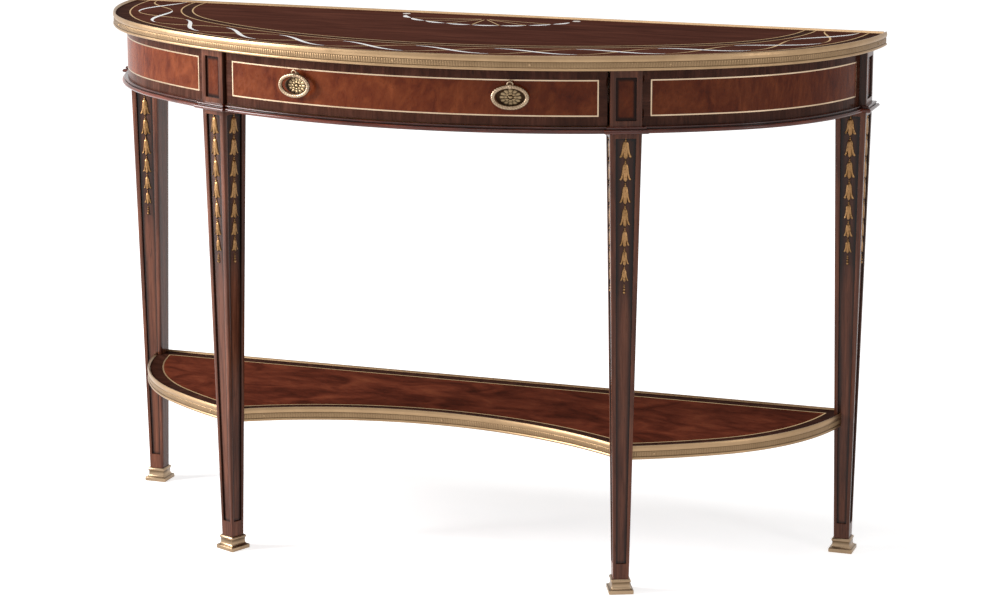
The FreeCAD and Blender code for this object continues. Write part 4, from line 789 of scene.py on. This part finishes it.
def husk(leg, turn, top, width, height):
    """One husk: half width over the share of its length from a narrow tip by a shoulder to a flared hem, a hem of
    three petals, and a rounded relief with a ridge on each petal, a valley between and veins like a cosine."""
    u, v = np.meshgrid(np.linspace(-1, 1, 19), np.linspace(0, 1, 15))
    half = width / 2 * np.interp(v, [0, 0.04, 0.1, 0.22, 0.5, 0.72, 0.88, 1.0],
                                 [0.2, 0.34, 0.44, 0.54, 0.64, 0.77, 0.95, 1.06])
    side, middle = np.abs(u), np.clip(1 - np.abs(u) / 0.36, 0, 1)
    petal = 0.80 + 0.20 * middle ** 0.7 + 0.10 * np.clip(1 - np.abs(side - 0.76) / 0.3, 0, 1) ** 0.8
    z = top - height * v * (1 + (petal - 1) * v ** 3)
    valley = np.exp(-((side - 0.4) / 0.11) ** 2) * np.clip(v * 1.9 - 0.75, 0, 1)
    vein = np.cos(u * 22)
    dome = 0.5 + 2.3 * np.sqrt(np.clip(1 - u ** 2, 0, 1))
    flare = 0.6 + 0.4 * np.sin(pi * np.clip(v * 1.1, 0, 1)) + 0.5 * v ** 4
    rim = (side > 0.999) | (v > 0.999) | (v < 0.001)
    out = np.where(rim, -0.2, dome * (1 - 0.65 * valley) * flare + 0.2 * vein * v)
    # Patina and painted shade in the valleys, along the veins, at the rim and down the sides of each husk
    shade = np.clip(valley + 0.9 * rim + 0.45 * (vein < -0.3) * v + 0.5 * (side > 0.9), 0, 1)
    return patch(on_face(leg, turn, u * half, z, out), shade=shade, inside=under(leg, turn, top - height / 2))


def bead(leg, turn, z, radius):
    """Half-round bead on the panel's floor: a dome over a circle."""
    share, angle = np.meshgrid(np.linspace(0.12, 1.0, 4), np.linspace(0, 2 * pi, 11)[:-1], indexing="ij")
    out = radius * 1.3 * np.sqrt(1.02 - share ** 2) - 0.2
    points = on_face(leg, turn, radius * share * np.cos(angle), z + radius * share * np.sin(angle), out)
    # Painted shade round the foot of each bead
    return closed(points, shade=np.clip(share - 0.5, 0, 1), inside=under(leg, turn, z))


HUSKS, HUSK_HIGH, HUSK_GAP = 7, FRIEZE_LOW - 10.0, 2.5
HUSK_TALL, HUSK_WIDE = 34.5, 21.0
# The husks narrow evenly downwards, and after the fourth they get shorter too
husk_step = np.arange(HUSKS)
husk_tall = HUSK_TALL - 10.0 * np.clip(husk_step - 3, 0, None) / (HUSKS - 4)
husk_wide = HUSK_WIDE - 6.4 * husk_step / (HUSKS - 1)
husk_ends = HUSK_HIGH - np.cumsum(husk_tall + HUSK_GAP)
husk_tops = np.concatenate([[HUSK_HIGH], husk_ends[:-1]])
for leg in legs:
    drops = []
    for turn in (0.0, -leg.side * pi / 2):
        for top, tall, wide in zip(husk_tops, husk_tall, husk_wide):
            drops += [husk(leg, turn, top - 2.4, wide, tall - 2.6), bead(leg, turn, top - 1.6, 2.1),
                      bead(leg, turn, top + 1.4, 1.6)]
        drops += [bead(leg, turn, husk_ends[-1] - drop, radius)
                  for drop, radius in ((1.5, 1.5), (4.9, 1.9), (9.1, 2.3), (14.0, 2.7))]
    piece(f"husks_{leg.name}", "table", [cast_brass], drops, [f"bellflowers_{leg.name}"], crease=50)


# Ring pulls

def at_pull(side, across, out, z):
    """Points on the drawer face about a pull: across it, out of it and up."""
    x, y = plan(FRIEZE_INSET, side * PULL_ANGLE)
    c, s = cos(side * PULL_ANGLE), sin(side * PULL_ANGLE)
    return np.stack([x + across * c + out * s, y + across * s - out * c, z + 0 * across], -1)


def back_plate(side):
    """Thin oval plate behind a flower: rings of an ellipse with a rounded edge that turns down to the drawer face."""
    share = np.array([0.3, 0.9, 0.975, 1.0, 1.0])[:, None]
    out = np.array([0.6, 0.6, 0.5, 0.25, -0.3])[:, None]
    angle = np.linspace(0, 2 * pi, 73)[None, :-1]
    points = at_pull(side, PLATE_WIDE * share * np.cos(angle), out + 0 * angle,
                     PULL_Z + PLATE_HIGH * share * np.sin(angle))
    return closed(points, finish=1)


def rosette(side):
    """Oval flower: a bead in the middle, a sunk ring, eight short petals and twelve long ones with a scalloped edge.
    Each ring of petals is a half sine over its share of the radius, times a rounded wave round the middle."""
    share, angle = np.meshgrid(np.linspace(0.03, 1.0, 33), np.linspace(0, 2 * pi, 145)[:-1], indexing="ij")
    short, long = np.abs(np.cos(4 * angle)), np.abs(np.cos(6 * angle))
    bud = 2.0 * np.sqrt(np.clip(1 - (share / 0.2) ** 2, 0, 1))
    inner = 1.6 * np.sin(pi * np.clip((share - 0.26) / 0.3, 0, 1)) ** 0.5 * (0.2 + 0.8 * short ** 0.5)
    outer = 1.1 * np.sin(pi * np.clip((share - 0.54) / 0.5, 0, 1)) ** 0.35 * (0.1 + 0.9 * long ** 0.5)
    out = np.where(share > 0.995, -0.3, 0.8 + bud + inner + outer)
    reach = share * (1 - 0.1 * (1 - long) * share ** 4)
    points = at_pull(side, FLOWER_WIDE * reach * np.cos(angle), out, PULL_Z + FLOWER_HIGH * reach * np.sin(angle))
    # Painted shade that deepens the lower the surface lies, with patina in the lines of the chasing
    return closed(points, shade=np.clip(1.05 - (out - 0.8) / 1.2, 0, 0.95))


def round_bar(centres, radii, normal, binormal, count=16):
    """Tube about a line of centres: at each one a circle of its own radius between two directions square to it."""
    around = np.linspace(0, 2 * pi, count + 1)[None, :-1, None]
    normal, binormal = np.atleast_2d(normal)[:, None, :], np.atleast_2d(binormal)[:, None, :]
    return centres[:, None, :] + np.reshape(radii, (-1, 1, 1)) * (np.cos(around) * normal + np.sin(around) * binormal)


def knuckle(side):
    """Hinge of a ring: a neck out of the drawer face, a barrel with a bead and two grooves, and an upright eyelet."""
    origin = at_pull(side, 0.0, 0.0, 0.0)
    wide, ahead = at_pull(side, 1.0, 0.0, 0.0) - origin, at_pull(side, 0.0, 1.0, 0.0) - origin
    up = np.array([0.0, 0.0, 1.0])
    neck_out = np.array([-0.4, 1.0, 1.6, 2.4, 4.0, 6.0])
    neck = round_bar(at_pull(side, 0 * neck_out, neck_out, HINGE_Z), [4.4, 4.4, 3.4, 2.7, 2.7, 3.2], wide, up)
    half_x, half_radius = [4.6, 4.4, 3.6, 3.0, 2.7, 2.2, 1.3], [3.0, 4.0, 4.4, 4.2, 3.8, 4.2, 4.6]
    bar_x = np.array([-x for x in half_x] + [0.0] + half_x[::-1])
    barrel = round_bar(at_pull(side, bar_x, STANDOFF, HINGE_Z), half_radius + [4.8] + half_radius[::-1], ahead, up)
    grooves = np.where(np.abs(np.abs(bar_x) - 2.7) < 0.4, 0.8, 0.0)[:, None]
    turn = np.linspace(0, 2 * pi, 41)
    loop = at_pull(side, 4.3 * np.cos(turn), STANDOFF, HINGE_Z + 4.2 + 3.8 * np.sin(turn))
    eyelet = round_bar(loop, 1.35, np.outer(np.cos(turn), wide) + np.outer(np.sin(turn), up), ahead, 10)
    # Painted shade on the neck, and patina with painted shade in the barrel's two grooves
    return [closed(neck, shade=0.5), closed(barrel, shade=grooves), patch(eyelet, ring=True)]


def ring(side):
    """Oval ring like a bound wreath: a tube along an ellipse whose radius swells on a twist, drawn in between."""
    turn, around = np.meshgrid(np.linspace(0, 2 * pi, 289), np.linspace(0, 2 * pi, 15)[:-1], indexing="ij")
    wave = np.abs(np.sin(18 * turn + around))
    radius = RING_TUBE * (0.92 + 0.08 * wave)
    normal = np.stack([RING_HIGH * np.cos(turn), RING_WIDE * np.sin(turn)], -1)
    normal /= np.linalg.norm(normal, axis=-1, keepdims=True)
    across = RING_WIDE * np.cos(turn) + radius * np.cos(around) * normal[..., 0]
    up = RING_HIGH * np.sin(turn) + radius * np.cos(around) * normal[..., 1]
    points = at_pull(side, across, STANDOFF + radius * np.sin(around), RING_Z + up)
    # Patina and painted shade in the hollows between the swells of the twist
    return patch(points, shade=np.clip(0.7 - 1.2 * wave, 0, 1), ring=True)


piece("pull_flowers", "drawer", [chased_brass, black_bronze],
      [rosette(-1), rosette(1), back_plate(-1), back_plate(1)], ["pull_rosettes"], crease=60)
piece("pull_posts", "drawer", [pull_brass], knuckle(-1) + knuckle(1), ["pull_knuckles"], crease=50)
piece("ring_left", "pull_ring_left", [pull_brass], [ring(-1)], ["pull_ring_left"], crease=60)
piece("ring_right", "pull_ring_right", [pull_brass], [ring(1)], ["pull_ring_right"], crease=60)


# Finishes of the nodes that keep their own solids

finishes = {
    top_wood: ["top_field_veneer", "top_ribbon_veneer"],
    inlay_brass: ["top_strings", "top_brass_inlay", "shelf_string"],
    pearl: ["top_pearl_inlay"],
    shelf_wood: ["shelf_panel"],
    steel: ["top_screws", "pull_nuts"],
    carcass_along: ["top_panel", "back_rail", "upper_rail", "lower_rail", "drawer_back", "drawer_bottom",
                    "top_blocks", "loose_tenons"],
    carcass_across: ["drawer_side_left", "drawer_side_right", "runner_left", "runner_right", "kicker_left",
                     "kicker_right", "shelf_dowels"]}
for finish, names in finishes.items():
    for name in names:
        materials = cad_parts[name].data.materials
        materials.clear()
        materials.append(finish)


# Stage: pale floor, white surround, soft boxes and the camera

def white_to_the_eye(tree):
    """1 where a camera, a polished surface or glass looks straight at the background, 0 for all other light."""
    path = add(tree, "LightPath").outputs
    seen = add(tree, "Math", {0: path["Is Camera Ray"], 1: path["Is Glossy Ray"]}, operation="MAXIMUM")
    return add(tree, "Math", {0: seen, 1: path["Is Transmission Ray"]}, operation="MAXIMUM")


def studio_world():
    """Even surround: white to the eye, and a dimmer white for the light that it gives."""
    world = bpy.data.worlds.new("studio")
    world.use_nodes = True
    tree = world.node_tree
    tree.nodes.clear()
    ambient = add(tree, "Background", {"Color": colour("ffffff"), "Strength": 0.28})
    white = add(tree, "Background", {"Color": colour("ffffff"), "Strength": 1.0})
    both = add(tree, "MixShader", {0: white_to_the_eye(tree), 1: ambient, 2: white})
    add(tree, "OutputWorld", {"Surface": both})
    bpy.context.scene.world = world


def floor_paint():
    """Matt off-white paint with 60 mm roller marks. To the eye it glows a little, less within 3 m of the table, so
    that the shadow stays."""
    made, tree = blank("matt_white_floor_paint")
    where = add(tree, "TexCoord").outputs["Object"]
    roller = add(tree, "TexNoise", {"Vector": where, "Scale": 1000 / 60.0, "Detail": 2.0})
    paint = add(tree, "ValToRGB", {0: roller}, ramp=[(0.3, "ececec"), (0.7, "f0f0f0")])
    matt = add(tree, "BsdfDiffuse", {"Color": paint})
    spread = add(tree, "Mapping", {"Vector": where, "Scale": (3.0, 3.0, 3.0)}, vector_type="TEXTURE")
    near = add(tree, "TexGradient", {"Vector": spread}, gradient_type="SPHERICAL")
    bright = add(tree, "MapRange", {0: near, 1: 0.0, 2: 1.0, 3: 0.86, 4: 0.63})
    glow = add(tree, "Emission", {"Color": colour("ffffff"), "Strength": bright})
    lit = add(tree, "AddShader", {0: matt, 1: glow})
    both = add(tree, "MixShader", {0: white_to_the_eye(tree), 1: matt, 2: lit})
    add(tree, "OutputMaterial", {"Surface": both})
    return made


def studio_floor(reach=30.0, drop=0.0004):
    """Flat square sheet, a hair under the shoes."""
    sheet = bpy.data.meshes.new("floor")
    x, y = np.meshgrid(np.linspace(-reach, reach, 3), np.linspace(-reach, reach, 3), indexing="ij")
    sheet.from_pydata(np.stack([x, y, 0 * x - drop], -1).reshape(-1, 3).tolist(), [], cells(3, 3, False).tolist())
    sheet.materials.append(floor_paint())
    floor = placed("floor", sheet)


def soft_box(name, place, aim, size, power):
    """Oblong area lamp that looks from its place at a point."""
    lamp = bpy.data.lights.new(name, "AREA")
    lamp.shape = "RECTANGLE"
    lamp.size, lamp.size_y = size
    lamp.energy = power
    holder = placed(name, lamp)
    holder.location = place
    x, y, z = np.array(aim) - np.array(place)
    holder.rotation_euler = (np.arctan2(np.hypot(x, y), -z), 0.0, np.arctan2(-x, y))


studio_world()
studio_floor()
soft_box("key_left", (-3.6, -1.6, 1.9), (0.0, 0.0, 0.6), (1.6, 2.0), 240)
soft_box("fill_right", (4.0, -1.5, 1.5), (0.3, 0.0, 0.6), (0.8, 1.6), 16)
soft_box("overhead", (0.0, -0.8, 3.6), (0.0, 0.0, 0.6), (2.5, 1.6), 26)

camera = bpy.data.cameras.new("camera")
camera.sensor_width = 36.0
camera.lens = 103.01
camera.shift_y = -0.0608
camera.clip_end = 100.0
viewer = placed("camera", camera)
viewer.location = (1.6522, -4.4903, 1.5625)
viewer.rotation_euler = (radians(90.0 - 11.968), 0.0, radians(19.119))
bpy.context.scene.camera = viewer
bpy.context.scene.view_settings.view_transform = "Standard"
